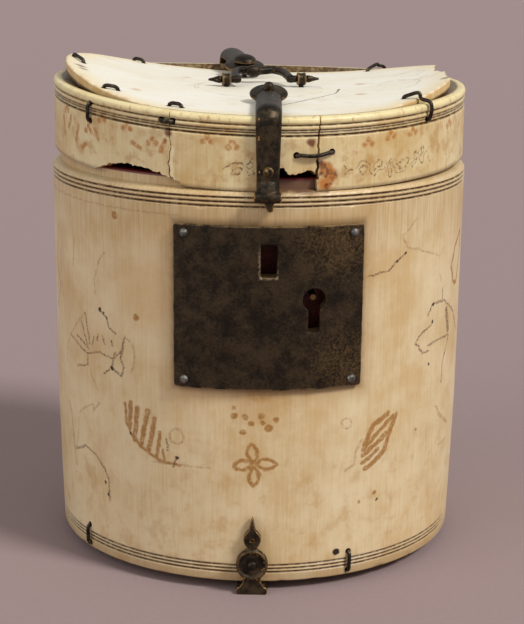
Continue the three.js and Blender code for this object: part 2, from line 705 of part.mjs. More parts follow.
function keyPost() {
  const back = BACK_PLATE_DEPTH - BACK_PLATE_THICKNESS - HEAD_GAP;
  return postBar(POST_RADIUS, back - 0.2, POST_TIP).add(postBar(POST_HEAD_RADIUS, back - 0.9, back));
}

// The bolt, with the talon below it that the key's bit pushes.
function bolt() {
  const top = BOLT_Z + BOLT_HEIGHT / 2;
  const bottom = BOLT_Z - BOLT_HEIGHT / 2;
  const talonRight = BOLT_RIGHT - TALON_INSET;
  const talonLeft = talonRight - TALON_WIDTH;
  const shape = outline([
    [BOLT_LEFT + 1.2, bottom],
    [talonLeft, bottom],
    [talonLeft + 0.3, bottom - TALON_DEPTH],
    [talonRight - 0.3, bottom - TALON_DEPTH],
    [talonRight, bottom],
    [BOLT_RIGHT, bottom],
    [BOLT_RIGHT, top],
    [BOLT_LEFT, top],
    [BOLT_LEFT, bottom + 1.6],
  ]);
  const blank = new THREE.ExtrudeGeometry(shape, { depth: BOLT_THICKNESS, bevelEnabled: false });
  return inLock(blank.rotateX(Math.PI / 2).translate(0, -BOLT_BACK, 0));
}

// A keeper bridges the bolt; the open one leaves the talon's path free.
function keeper(offset, open) {
  const x0 = BOLT_LEFT + offset;
  const x1 = x0 + KEEPER_WIDTH;
  const half = BOLT_HEIGHT / 2 + GAP;
  const outY = -(BOLT_FRONT + GAP + GUIDE_THICKNESS);
  const seatY = -(BACK_PLATE_DEPTH + GAP);
  const top = BOLT_Z + half + GUIDE_THICKNESS;
  const bottom = open ? BOLT_Z - 1 : BOLT_Z - half - GUIDE_THICKNESS;
  const bridge = box(x0, x1, outY, outY + GUIDE_THICKNESS, bottom, top);
  const upper = box(x0, x1, outY, seatY, BOLT_Z + half, top);
  const lower = box(x0, x1, outY, seatY, bottom, BOLT_Z - half);
  const pieces = open ? [bridge, upper] : [bridge, upper, lower];
  return join(pieces.map(inLock));
}

// A leaf spring that bears on the bolt's upper edge.
function boltSpring() {
  const seat = BOLT_Z + BOLT_HEIGHT / 2 + GAP;
  const start = BOLT_RIGHT - 0.4;
  const points = [
    new THREE.Vector3(start, 0, seat + 3.4),
    new THREE.Vector3(start - 2.4, 0, seat + 2.5),
    new THREE.Vector3(start - 3.6, 0, seat + 1.0),
    new THREE.Vector3(start - 4.4, 0, seat + 0.45),
    new THREE.Vector3(start - 5.4, 0, seat + 0.9),
  ];
  const section = outline([[-0.25, -0.8], [0.25, -0.8], [0.25, 0.8], [-0.25, 0.8]]);
  const strip = sweep(points, section, 0.5).translate(0, -(BOLT_BACK + 0.9), 0);
  const foot = box(start - 1, start + 0.8, -BOLT_BACK - 1.7, -BOLT_BACK, seat + 2.9, seat + 5);
  return inLock(strip).add(inLock(foot));
}

addPiece(boxGroup, "lock_plate", lockPlate(), PLATE_METAL);
plateRivets.forEach(({ frame, grip }, i) => {
  addPiece(boxGroup, `plate_rivet_${i + 1}`, rivet(PLATE_RIVET, grip), RIVET_METAL, frame);
});
addPiece(boxGroup, "lock_case", lockCase(), BRONZE);
addPiece(boxGroup, "key_post", keyPost(), IRON);
addPiece(boxGroup, "bolt_keeper", keeper(KEEPER_OFFSET, false), IRON);
addPiece(boxGroup, "bolt_guide", keeper(GUIDE_OFFSET, true), IRON);
addPiece(boxGroup, "bolt_spring", boltSpring(), IRON);
addPiece(boltGroup, "lock_bolt", bolt(), IRON);

// The feet: a flat fitting with a pointed tip, a round boss and a flared foot under the wall
function foot() {
  const nailZ = FOOT_TIP_Z - 6.1;
  const half = [
    [0, FOOT_TIP_Z],
    [0.45, FOOT_TIP_Z - 2],
    [0.8, nailZ + 2.4],
    [1.9, nailZ + 1.5],
    [2.15, nailZ + 0.1],
    [1.6, nailZ - 1.3],
    [1.0, nailZ - 2.2],
  ];
  for (let a = 68; a >= -52; a -= 20) {
    const turn = degrees(a);
    half.push([FOOT_DISC_RADIUS * Math.cos(turn), FOOT_DISC_Z + FOOT_DISC_RADIUS * Math.sin(turn)]);
  }
  half.push([2.4, 3.6], [FOOT_HALF_WIDTH, 2.3], [FOOT_HALF_WIDTH, 0]);
  const mirrored = half.slice(1).map(([x, z]) => [-x, z]).reverse();
  const plate = new THREE.ExtrudeGeometry(outline([...half, ...mirrored]), {
    depth: FOOT_THICKNESS,
    bevelEnabled: false,
  });
  plate.rotateX(Math.PI / 2).translate(0, -FOOT_BACK, 0);
  const face = FOOT_BACK + FOOT_THICKNESS;
  const rim = turned(
    [
      [FOOT_DISC_RADIUS - 1, -0.5],
      [FOOT_DISC_RADIUS, -0.5],
      [FOOT_DISC_RADIUS - 0.15, 0.5],
      [FOOT_DISC_RADIUS - 0.7, 0.5],
    ],
    16,
  );
  rim.rotateX(Math.PI / 2).translate(0, -face, FOOT_DISC_Z);
  const pad = box(-FOOT_HALF_WIDTH, FOOT_HALF_WIDTH, -face, -FOOT_PAD_REACH, 0, FOOT_PAD_HEIGHT);
  const whole = join([plate, rim, pad].map(toSolid));
  return cut(whole, [
    frontBore(FOOT_NAIL_HOLE_RADIUS, FOOT_PAD_REACH, nailZ, 8),
    frontBore(FOOT_RIVET.shank + GAP, FOOT_PAD_REACH, FOOT_DISC_Z),
  ]);
}

footRivets.forEach(({ frame, grip }, i) => {
  addPiece(boxGroup, `foot_${i + 1}`, foot(), BRONZE, turnAbout(FOOT_ANGLES[i]));
  addPiece(boxGroup, `foot_rivet_${i + 1}`, rivet(FOOT_RIVET, grip), BRONZE, frame);
});

// Straps: a half-round section bent over the rim, with a dished round terminal on the disc
function halfRound(width, depth) {
  const half = width / 2;
  return outline([
    [half, 0],
    [half, -0.25 * depth],
    [0.8 * half, -0.65 * depth],
    [0.42 * half, -0.93 * depth],
    [0, -depth],
    [-0.42 * half, -0.93 * depth],
    [-0.8 * half, -0.65 * depth],
    [-half, -0.25 * depth],
    [-half, 0],
  ]);
}

const STRAP_STEP = 1.9;

// The path is the strap's inner face, in [distance from the axis, height], from the disc outwards.
function strapSweep(path, width, depth) {
  const points = path.map(([out, z]) => new THREE.Vector3(0, -out, z));
  return toSolid(sweep(points, halfRound(width, depth), STRAP_STEP));
}

// The frame of a strap that is modelled at the front.
const strapFrame = ({ turn, shift }) => turnAbout(turn).premultiply(translation(shift, 0, 0));

// A shape round local Z, leaning with a strap's terminal, in the strap's frame.
function leaning(profile, strap, segments) {
  const shape = turned(profile, segments).rotateX(degrees(strap.lean));
  return shape.translate(0, -strap.terminalOut, terminalZ(strap));
}

// A strap's dished terminal.
function terminal(strap) {
  const radius = strap.terminalRadius;
  const dish = [
    [0, 0.5],
    [0.45 * radius, 0.4],
    [0.85 * radius, -0.15],
    [radius, -0.4],
    [radius, 0.15],
    [0.85 * radius, 0.55],
    [0.5 * radius, 1.05],
    [0, DISH_RISE],
  ];
  return toSolid(leaning(dish, strap, 16));
}

const NAIL_LOW = RING_BOTTOM; // nail holes run between these heights, past the disc and the dishes
const NAIL_HIGH = DISC_CENTRE_TOP + DISC_BOW_LEFT + CUT_PAST;

// The height of the disc under a strap's terminal, and of the terminal's own middle.
function discUnder(strap) {
  const p = new THREE.Vector3(0, -strap.terminalOut, 0).applyMatrix4(strapFrame(strap));
  return discTop(p.x, p.y);
}

const terminalZ = (strap) => discUnder(strap) + strap.terminalRise;

// A nail through the terminal and the disc, with a knob for a head, in the strap's frame.
function terminalNail(strap) {
  const { radius, rise } = strap.nailHead;
  const under = discUnder(strap) - DISC_THICKNESS - HEAD_GAP;
  const seat = DISH_RISE + HEAD_GAP;
  const head = [
    [0, seat],
    [radius - 0.1, seat],
    [radius, seat + 0.47 * rise],
    [0.6 * radius, seat + 0.88 * rise],
    [0, seat + rise],
  ];
  const shank = turned(
    [
      [0, under - CLENCH_HEIGHT],
      [0.75 * CLENCH_RADIUS, under - CLENCH_HEIGHT],
      [CLENCH_RADIUS, under],
      [NAIL_RADIUS, under],
      [NAIL_RADIUS, terminalZ(strap) + seat + rise / 2],
      [0, terminalZ(strap) + seat + rise / 2],
    ],
    RIVET_SEGMENTS,
  );
  shank.translate(0, -strap.terminalOut, 0);
  return join([leaning(head, strap, NAIL_HEAD_SEGMENTS), shank].map(toSolid));
}

// The hole for a nail, in the strap's frame.
const nailHole = ({ terminalOut }) =>
  bar(NAIL_RADIUS + GAP, NAIL_LOW, NAIL_HIGH).translate(0, -terminalOut, 0);

const strapRivetPlace = (strap) =>
  rivetPlace(strap.angle, RING_FACE + STRAP_DEPTH, strap.rivetZ, RING_INNER_RADIUS);

// The height of the ring's upper rim at an angle.
function rimTop(angle) {
  const p = at(angle, RING_RADIUS, RING_TOP);
  return RING_TOP + ringWarp(p.x, p.y, p.z);
}

// A strap with its terminal, cut for its rivet and its nail.
function strapPiece(strap, path, extras) {
  const strip = strapSweep(path, STRAP_WIDTH, STRAP_DEPTH);
  return cut(join([strip, terminal(strap), ...extras]), [
    frontBore(STRAP_RIVET.shank + GAP, RING_INNER_RADIUS, strap.rivetZ),
    toSolid(nailHole(strap)),
  ]);
}

// The front strap ends in a rolled lip and the stub of a broken hasp.
function frontStrapPiece() {
  const top = rimTop(FRONT_STRAP.angle);
  const start = FRONT_STRAP.terminalOut + STRAP_START;
  const path = [
    [start, top + 1.0],
    [THREE.MathUtils.lerp(start, RING_FACE - 4.4, 0.4), top + 0.75],
    [RING_FACE - 4.4, top + 0.4],
    [RING_FACE - 1.3, top + 0.35],
    [RING_FACE - 0.2, top - 0.2],
    [RING_FACE + 0.05, top - 1.55],
    [RING_FACE, top - 6],
    [RING_FACE, RING_BOTTOM + 3.4],
    [RING_FACE + 0.5, RING_BOTTOM + 1.6],
    [STRAP_FOOT, MOULDING_TOP + 1],
    [STRAP_FOOT + 0.2, MOULDING_TOP - 0.5],
  ];
  const lipOut = STRAP_FOOT + 2.1;
  const lipZ = MOULDING_TOP + 0.2;
  const lipHalf = STRAP_WIDTH / 2 + 0.1;
  const lip = bar(LIP_RADIUS, -lipHalf, lipHalf, 12).rotateY(Math.PI / 2).translate(0, -lipOut, lipZ);
  const stub = new THREE.ExtrudeGeometry(
    outline([[-0.9, 0.2], [-0.7, -2], [0.1, -3.5], [1.3, -3.3], [1.5, 0.2]]),
    { depth: 1.6, bevelEnabled: false },
  );
  stub.rotateX(Math.PI / 2).translate(0, -lipOut + 1, lipZ);
  return strapPiece(FRONT_STRAP, path, [lip, stub].map(toSolid));
}

// A knuckle of the hinge, in the hinge's own frame, and its bore.
function knuckle(centre, width, radius) {
  return toSolid(
    bar(radius, centre - width / 2, centre + width / 2, 16)
      .rotateY(Math.PI / 2)
      .translate(0, -HINGE_PIN_OUT, HINGE_PIN_Z),
  );
}

const KNUCKLE_PITCH = KNUCKLE_WIDTH + GAP;
const hingeBore = knuckle(0, 5 * KNUCKLE_PITCH, HINGE_PIN_RADIUS + GAP);

// The rear strap ends in a tongue with the hinge's middle knuckle.
function rearStrapPiece() {
  const top = rimTop(REAR_STRAP.angle);
  const start = REAR_STRAP.terminalOut + STRAP_START;
  const path = [
    [start, top + 1.7],
    [THREE.MathUtils.lerp(start, RING_FACE - 4.4, 0.5), top + 1.9],
    [RING_FACE - 4.4, top + 2],
    [RING_FACE - 1.2, top + 1.6],
    [RING_FACE + 0.1, top + 0.2],
    [RING_FACE + 0.15, top - 2.1],
    [RING_FACE, top - 6.6],
    [RING_FACE, RING_BOTTOM + 4.4],
    [RING_FACE + 0.3, RING_BOTTOM + TONGUE_RISE],
    [STRAP_FOOT - 0.3, MOULDING_TOP + 2.5],
  ];
  const half = KNUCKLE_WIDTH / 2;
  const tongueTop = RING_BOTTOM + TONGUE_RISE;
  const tongue = box(-half, half, -HINGE_PIN_OUT + 0.4, -STRAP_FOOT + 0.6, HINGE_PIN_Z, tongueTop);
  const extras = [toSolid(tongue), knuckle(0, KNUCKLE_WIDTH, KNUCKLE_RADIUS)];
  return cut(strapPiece(REAR_STRAP, path, extras), [hingeBore]);
}

// The leaf riveted to the back of the box, with the two outer knuckles.
function hingeLeaf() {
  const path = [
    [STRAP_FOOT - 0.1, MOULDING_BOTTOM + 0.3],
    [STRAP_FOOT - 0.2, MOULDING_BOTTOM - 0.9],
    [LEAF_BACK, MOULDING_BOTTOM - 4.1],
    [LEAF_BACK, LEAF_RIVETS_Z[1] - 3],
    [LEAF_BACK, LEAF_RIVETS_Z[0] - 2.5],
  ];
  const strip = strapSweep(path, STRAP_WIDTH, LEAF_DEPTH);
  const end = bar(LEAF_END_RADIUS, LEAF_BACK, LEAF_BACK + LEAF_DEPTH * 0.8, 18)
    .rotateX(Math.PI / 2)
    .translate(0, 0, LEAF_RIVETS_Z[0]);
  const pieces = [strip, toSolid(end)];
  for (const side of [-1, 1]) {
    const centre = side * KNUCKLE_PITCH;
    const x0 = centre - KNUCKLE_WIDTH / 2;
    const x1 = centre + KNUCKLE_WIDTH / 2;
    const post = box(x0, x1, -HINGE_PIN_OUT, -STRAP_FOOT, MOULDING_BOTTOM - 0.5, HINGE_PIN_Z);
    pieces.push(knuckle(centre, KNUCKLE_WIDTH, KNUCKLE_RADIUS), toSolid(post));
  }
  const bores = LEAF_RIVETS_Z.map((z) => frontBore(LEAF_RIVET.shank + GAP, LINING_INNER, z));
  return cut(join(pieces), [hingeBore, ...bores]);
}

function hingePin() {
  const half = KNUCKLE_PITCH + KNUCKLE_WIDTH / 2 + HEAD_GAP;
  const profile = [
    [0, -half - 0.8],
    [1.2, -half - 0.6],
    [1.5, -half],
    [HINGE_PIN_RADIUS, -half],
    [HINGE_PIN_RADIUS, half],
    [1.5, half],
    [1.2, half + 0.6],
    [0, half + 0.8],
  ];
  return turned(profile, 12).rotateY(Math.PI / 2).translate(0, -HINGE_PIN_OUT, HINGE_PIN_Z);
}

const hingeFrame = turnAbout(HINGE_ANGLE);
addPiece(boxGroup, "hinge_leaf", hingeLeaf(), BRONZE, hingeFrame);
addPiece(boxGroup, "hinge_pin", hingePin(), IRON, hingeFrame);
leafRivets.forEach(({ frame, grip }, i) => {
  addPiece(boxGroup, `leaf_rivet_${i + 1}`, rivet(LEAF_RIVET, grip), BRONZE, frame);
});

addPiece(lidGroup, "front_strap", frontStrapPiece(), BRONZE, strapFrame(FRONT_STRAP));
addPiece(lidGroup, "rear_strap", rearStrapPiece(), BRONZE, strapFrame(REAR_STRAP));
const straps = { front: FRONT_STRAP, rear: REAR_STRAP };
for (const [place, strap] of Object.entries(straps)) {
  const { frame, grip } = strapRivetPlace(strap);
  addPiece(lidGroup, `${place}_strap_rivet`, rivet(STRAP_RIVET, grip), BRONZE, frame);
  addPiece(lidGroup, `${place}_strap_nail`, terminalNail(strap), BRONZE, strapFrame(strap));
}

// Wire mends on the lid
const ringPoint = (angle, z) => at(angle, RING_RADIUS, z);
const inward = (angle) => at(angle + 180, 1, 0);
const down = new THREE.Vector3(0, 0, -1);
const up = new THREE.Vector3(0, 0, 1);

// A point on the disc, at an angle and a distance in from its edge.
function discPoint(angle, inset) {
  const p = at(angle, DISC_RADIUS - inset, 0);
  return p.setZ(discTop(p.x, p.y));
}

const onDisc = (a, b) => staple(a, b, down, DISC_LEG);

const wireMends = {
  ring_staple_left: staple(
    ringPoint(-50, RING_TOP + 0.4),
    ringPoint(-50, RING_TOP - 3.8),
    inward(-50),
    RING_LEG,
  ),
  ring_crack_staple: staple(
    ringPoint(9.6, RING_TOP - 9.05),
    ringPoint(18.8, RING_TOP - 8.45),
    inward(14.1),
    RING_LEG,
    0.5,
  ),
  ring_crack_tie: staple(
    ringPoint(-25.4, RING_TOP - 1.6),
    ringPoint(-22.2, RING_TOP - 1.7),
    inward(-23.8),
    RING_LEG,
    0.2,
  ),
  disc_staple_left: onDisc(discPoint(-50.5, 1.4), discPoint(-48.6, 4.6)),
  disc_staple_end: onDisc(discPoint(-92, 1.6), discPoint(-86.3, 4.7)),
  disc_staple_front: onDisc(discPoint(-27.5, 4.2), discPoint(-23.5, 4.6)),
  disc_staple_back: onDisc(discPoint(-133.5, 1.4), discPoint(-135, 4.2)),
  rim_wire_right: rimWire(50, 2.7),
  rim_wire_back: rimWire(139, 3.35),
};

// A wire from a hole in the disc, over the rim and down into the ring.
function rimWire(angle, drop) {
  const start = discPoint(angle, RIM_WIRE_INSET);
  const top = rimTop(angle);
  const entry = at(angle, RING_RADIUS, RING_TOP - drop);
  const first = legPoints(start, down, at(angle, 1, 0), DISC_LEG);
  const last = legPoints(entry, inward(angle), up, RING_LEG).reverse();
  const edge = discPoint(angle, 0);
  const over = [
    edge.setZ(Math.max(edge.z, top) + 1.3),
    at(angle, RING_RADIUS - 2.2, top + 1.1),
    at(angle, RING_RADIUS + 0.4, top + 0.5),
    at(angle, RING_RADIUS + 1.05, top - 1.2),
  ];
  return { points: [...first, ...over, ...last], legs: [[first[0], start], [last[3], entry]] };
}

const lidWireHoles = wireHoles(Object.values(wireMends));
for (const [name, mend] of Object.entries(wireMends)) {
  addPiece(lidGroup, name, wire(mend), IRON);
}

// The lid's ring, with two breaks in its lower edge, as [angle, height over the edge]
const LEFT_BREAK = [
  [-48.5, -1.6],
  [-48, 2.7],
  [-43.4, 3.8],
  [-39.5, 4.7],
  [-36.8, 5.0],
  [-31.9, 4.7],
  [-27.3, 3.8],
  [-24.1, 3.1],
  [-22.4, 2.8],
  [-20.2, 1.6],
  [-18.8, -1.6],
];
const RIGHT_BREAK = [
  [3.6, -1.6],
  [3.8, 5.5],
  [6.2, 6.0],
  [7.5, 4.4],
  [9.6, 4.2],
  [11.3, 4.7],
  [13.4, 5.3],
  [14.7, 3.9],
  [15.1, -1.6],
];

function lidRing() {
  const skirt = NECK_RADIUS + GAP;
  const skirtTop = NECK_TOP + SKIRT_ROOM;
  const profile = [
    [skirt, RING_BOTTOM + 1.15],
    [RING_RADIUS - 0.1, RING_BOTTOM],
    [RING_RADIUS, RING_BOTTOM + 0.2],
    ...grooved(() => RING_RADIUS, RING_GROOVES),
    [RIM_RADIUS, RING_GROOVES.at(-1) + 0.6],
    [RIM_RADIUS - 0.1, RING_TOP - 0.9],
    [RIM_RADIUS - 0.6, RING_TOP - 0.3],
    [RIM_RADIUS - 1.3, RING_TOP],
    [RING_INNER_RADIUS, RING_TOP],
    [RING_INNER_RADIUS, skirtTop],
    [skirt, skirtTop],
  ];
  const blank = turned(profile);
  const p = blank.getAttribute("position");
  for (let i = 0; i < p.count; i++) {
    p.setZ(i, p.getZ(i) + ringWarp(p.getX(i), p.getY(i), p.getZ(i)));
  }
  const pocket = toSolid(warpedDisc(DISC_RADIUS + GAP, OUTSIDE - RING_RADIUS, DISC_THICKNESS + GAP));
  const breaks = [LEFT_BREAK, RIGHT_BREAK].map((edge) => {
    const points = edge.map(([angle, over]) => [angle, RING_BOTTOM + over]);
    return radialCutter(points, RING_INNER_RADIUS - CUT_PAST, OUTSIDE);
  });
  const strapHoles = rivetHoles(Object.values(straps).map(strapRivetPlace), STRAP_RIVET);
  return cut(toSolid(blank), [pocket, ...breaks, ...strapHoles, ...lidWireHoles]);
}

// The disc, broken off at its right end, as [in from its edge, Y]
const BROKEN_END = [
  [2.1, -20],
  [3.5, -12],
  [3.1, -3],
  [5.1, 6],
  [4.1, 13],
  [3.3, 22],
  [-10, 24],
  [-10, -22],
];

const bailAxis = translation(
  BAIL_AXIS_X,
  BAIL_AXIS_Y,
  discTop(BAIL_AXIS_X, BAIL_AXIS_Y) + BAIL_AXIS_HEIGHT,
).multiply(turnAbout(BAIL_AXIS_ANGLE));
const eyeCentres = [-BAIL_EYE_SPACING / 2, BAIL_EYE_SPACING / 2];

function lidDisc() {
  const edge = outline(BROKEN_END.map(([inset, y]) => [DISC_RADIUS - inset, y]));
  const missing = new THREE.ExtrudeGeometry(edge, { depth: NAIL_HIGH - NAIL_LOW, bevelEnabled: false });
  missing.translate(0, 0, NAIL_LOW);
  const eyeHoles = eyeCentres.map((u) => {
    const hole = bar(EYE_SHANK_RADIUS + GAP, -BAIL_AXIS_HEIGHT - DISC_THICKNESS - CUT_PAST, 0);
    return toSolid(moved(hole.translate(u, 0, 0), bailAxis));
  });
  const blank = toSolid(warpedDisc(DISC_RADIUS, 0, DISC_THICKNESS));
  const nailHoles = Object.values(straps).map((strap) =>
    toSolid(moved(nailHole(strap), strapFrame(strap))),
  );
  return cut(blank, [toSolid(missing), ...nailHoles, ...eyeHoles, ...lidWireHoles]);
}

addPiece(lidGroup, "lid_ring", lidRing(), IVORY);
addPiece(lidGroup, "lid_disc", lidDisc(), LID_IVORY);

// The bail handle and the two eyes that carry it, about an axis along local X
function eye() {
  const collar = bar(EYE_OUTER_RADIUS, -EYE_WIDTH / 2, EYE_WIDTH / 2, 16).rotateY(Math.PI / 2);
  const under = -BAIL_AXIS_HEIGHT - DISC_THICKNESS - GAP - HEAD_GAP;
  const shankTop = -(EYE_INNER_RADIUS + EYE_OUTER_RADIUS) / 2;
  const shank = turned(
    [
      [0, under - CLENCH_HEIGHT],
      [CLENCH_RADIUS, under - CLENCH_HEIGHT],
      [CLENCH_RADIUS, under],
      [EYE_SHANK_RADIUS, under],
      [EYE_SHANK_RADIUS, shankTop],
      [0, shankTop],
    ],
    RIVET_SEGMENTS,
  );
  const bore = bar(EYE_INNER_RADIUS, -EYE_WIDTH, EYE_WIDTH, 12).rotateY(Math.PI / 2);
  return toSolid(collar).add(toSolid(shank)).subtract(toSolid(bore));
}

eyeCentres.forEach((u, i) => {
  const frame = bailAxis.clone().multiply(translation(u, 0, 0));
  addPiece(lidGroup, `bail_eye_${i + 1}`, eye(), BRONZE, frame);
});

function bail() {
  const neck = EYE_INNER_RADIUS - GAP;
  const inner = BAIL_EYE_SPACING / 2 - EYE_WIDTH / 2 - GAP;
  const outer = BAIL_EYE_SPACING / 2 + EYE_WIDTH / 2 + GAP;
  const tip = outer + BAIL_TIP_LENGTH;
  const pegProfile = [
    [0, inner - 2.6],
    [0.95, inner - 2.4],
    [0.95, inner],
    [neck, inner],
    [neck, outer],
    [1.0, outer],
    [0.95, outer + 0.9],
    [0.3, tip],
    [0, tip],
  ];
  const reach = BAIL_REACH;
  const armPlan = [
    [inner - 1.2, 0],
    [inner - 1.5, 1.5],
    [inner - 1.6, 0.42 * reach],
    [inner - 2.2, 0.85 * reach],
    [inner - 4.2, 1.14 * reach],
    [inner - 6.3, 1.08 * reach],
    [0, reach],
  ];
  const pieces = [];
  for (const side of [-1, 1]) {
    pieces.push(toSolid(turned(pegProfile, 8).rotateY((side * Math.PI) / 2)));
    const points = armPlan.map(([u, w]) => new THREE.Vector3(side * u, w, 0));
    pieces.push(toSolid(sweep(points, circle(BAIL_ARM_RADIUS, 6), 1.3)));
  }
  const boss = turned([[0, -2.0], [1.2, -1.8], [1.7, -1.0], [1.7, 1.0], [1.2, 1.8], [0, 2.0]], 8);
  pieces.push(toSolid(boss.rotateY(Math.PI / 2).translate(BAIL_BOSS_SHIFT, reach, 0)));
  return join(pieces);
}

bailGroup.applyMatrix4(bailAxis);
addPiece(bailGroup, "bail_handle", bail(), BRONZE, new THREE.Matrix4().makeRotationX(degrees(BAIL_LEAN)));

export default root;
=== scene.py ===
"""A round ivory box with a hinged lid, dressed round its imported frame.

Sizes are in millimetres until a mesh is made. Angles are degrees round Z from the front, which is -Y.
"""
import math

import bmesh
import bpy
import numpy as np
from mathutils import Matrix, Vector, noise


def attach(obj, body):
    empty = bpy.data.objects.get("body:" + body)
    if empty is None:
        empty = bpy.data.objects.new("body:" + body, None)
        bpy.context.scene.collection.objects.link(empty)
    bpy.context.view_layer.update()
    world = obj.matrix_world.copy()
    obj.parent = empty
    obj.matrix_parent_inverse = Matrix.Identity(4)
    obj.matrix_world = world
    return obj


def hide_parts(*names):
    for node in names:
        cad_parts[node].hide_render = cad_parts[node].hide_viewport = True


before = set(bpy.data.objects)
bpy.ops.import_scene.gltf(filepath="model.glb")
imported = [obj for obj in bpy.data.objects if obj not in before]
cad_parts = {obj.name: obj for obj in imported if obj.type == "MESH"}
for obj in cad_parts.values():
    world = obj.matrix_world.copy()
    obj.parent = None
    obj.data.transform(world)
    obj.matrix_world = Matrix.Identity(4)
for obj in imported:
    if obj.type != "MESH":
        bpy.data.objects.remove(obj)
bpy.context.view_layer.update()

# Driving sizes of the ivory, as in the frame
MM = 0.001
MERGE_DISTANCE = 1e-7  # in metres
GAP = 0.3
WALL_BOTTOM = 2.4
WALL_MIDDLE = 38.0
WALL_RADIUS_BOTTOM = 53.6
WALL_RADIUS_MIDDLE = 54.65
WALL_RADIUS_TOP = 54.93
WALL_INNER_RADIUS = 49.6
BASE_GROOVES = (5.15, 6.05, 6.95)
MOULDING_BOTTOM = 98.1
MOULDING_RADIUS = 55.0
MOULDING_GROOVES = (98.65, 99.7, 100.8)
MOULDING_TOP = 101.2
SHOULDER_TOP = 102.6
NECK_RADIUS = 52.5
NECK_TOP = 105.2
GROOVE_DEPTH = 0.42
GROOVE_SPREAD = 0.24
BASE_RADIUS = 50.7
BASE_THICKNESS = 3.8
BASE_RECESS = 0.2
BASE_LINES = (18, 40)
FLOOR_TOP = WALL_BOTTOM + BASE_THICKNESS + GAP
LINING_RADIUS = WALL_INNER_RADIUS - GAP
LINING_THICKNESS = 0.8
LINING_TOP = 104.2
RING_RADIUS = 54.3
RING_INNER_RADIUS = 48.6
RING_BOTTOM = 102.1
RING_TOP = 119.95
RING_GROOVES = (115.45, 116.2, 116.75, 117.95)
RIM_RADIUS = 54.4
RING_SIDE_RISE_BOTTOM = 2.2
RING_SIDE_RISE_TOP = 2.7
RING_BACK_RISE = 1.8
RING_TILT = 0.016
DISC_RADIUS = 51.2
DISC_THICKNESS = 3.0
DISC_CENTRE_TOP = 121.0
DISC_BOW_LEFT = 7.0
DISC_BOW_RIGHT = 6.6
DISC_BOW_POWER = 2.7
DISC_CROWN = 1.2
DISC_TILT = 0.02
DISC_END_PITCH = 0.00045

# Driving sizes of the metal, as in the frame
LOCK_ANGLE = 3.1
PLATE_HALF_ANGLE = 24.4
PLATE_BOTTOM = 53.5
PLATE_TOP = 94.2
PLATE_THICKNESS = 1.0
SLOT_LEFT, SLOT_RIGHT, SLOT_BOTTOM, SLOT_TOP = -2.15, 1.7, 81.7, 89.7
KEYHOLE_X = 10.8
KEYHOLE_Z = 76.0
KEYHOLE_RADIUS = 2.8
KEYHOLE_HALF_WIDTH = 1.4
KEYHOLE_BOTTOM = 68.0
SLOT_ROOM = 0.4  # the wall is cut wider than the plate by this
KEYHOLE_ROOM = 0.6
PLATE_RIVET_ANGLE = 21.4
PLATE_RIVET_INSET = 2.1
FOOT_ANGLES = (-0.6, 119.4, 239.4)
FOOT_BACK = 54.37
FOOT_THICKNESS = 1.5
FOOT_HALF_WIDTH = 3.9
FOOT_DISC_RADIUS = 4.0
FOOT_DISC_Z = 8.0
FOOT_TIP_Z = 20.6
FOOT_NAIL_Z = 14.5
FOOT_PAD_HEIGHT = 2.1
FOOT_PAD_REACH = 51.0
STRAP_WIDTH = 6.4
STRAP_DEPTH = 2.9
RING_FACE = 54.65
STRAP_FOOT = 55.6
LIP_RADIUS = 1.3
HINGE_ANGLE = 189.4
DISH_RISE = 1.3
FRONT_STRAP = dict(turn=0, shift=2.35, angle=2.4, terminal_out=30.5, rise=2.25, radius=4.8, lean=20,
                   rivet_z=107.5, head_radius=1.35, head_rise=1.7)
REAR_STRAP = dict(turn=HINGE_ANGLE, shift=0, angle=HINGE_ANGLE, terminal_out=27.0, rise=3.15, radius=5.6,
                  lean=-13, rivet_z=111.5, head_radius=3.2, head_rise=1.6)
HINGE_PIN_OUT = 57.8
HINGE_PIN_Z = 101.0
HINGE_BORE = 1.15
KNUCKLE_RADIUS = 2.2
KNUCKLE_WIDTH = 2.2
LEAF_BACK = 55.23
LEAF_DEPTH = 1.7
LEAF_END_RADIUS = 4.2
LEAF_RIVETS_Z = (80.5, 91.0)
BAIL_AXIS_ANGLE = 9
BAIL_AXIS_PLACE = (1.1, 0.5)
BAIL_AXIS_HEIGHT = 2.05
BAIL_EYE_SPACING = 20.2
BAIL_LEAN = 6
BAIL_REACH = 10.4
BAIL_TIP_LENGTH = 3.35
BAIL_ARM_RADIUS = 1.1
BAIL_BOSS_SHIFT = -1.2
EYE_OUTER_RADIUS = 1.7
EYE_INNER_RADIUS = 1.05
EYE_WIDTH = 2.3
WIRE_RADIUS = 0.5
WIRE_BEND = 0.9
BEND_START = 0.2
WIRE_LIFT = WIRE_BEND - BEND_START
RING_LEG = 3.6
DISC_LEG = 3.9
RIM_WIRE_INSET = 4.4
BASE_STAPLE_ANGLES = (-54, 26.3, 100, -150)
BASE_STAPLE_LOW = 3.8
BASE_STAPLE_HIGH = 8.9
BASE_STAPLE_LEG = 4.6

ROUND_COLUMNS = 400
CASTING_VOXEL = 0.15
STRAP_VOXEL = 0.17
BAIL_VOXEL = 0.13
PLATE_VOXEL = 0.24
SHARP_EDGE = 50  # in degrees
DEGREE = math.pi / 180
UPRIGHT = Matrix.Rotation(math.pi / 2, 4, "X")  # stands a flat outline up, facing the front
SIDEWAYS = Matrix.Rotation(math.pi / 2, 4, "Y")  # lays a turned shape along X


# Places
def at(angle, out, z):
    a = angle * DEGREE
    return Vector((out * math.sin(a), -out * math.cos(a), z))


def wall_radius(z):
    return np.interp(
        z,
        (WALL_BOTTOM, WALL_MIDDLE, MOULDING_BOTTOM),
        (WALL_RADIUS_BOTTOM, WALL_RADIUS_MIDDLE, WALL_RADIUS_TOP),
    )


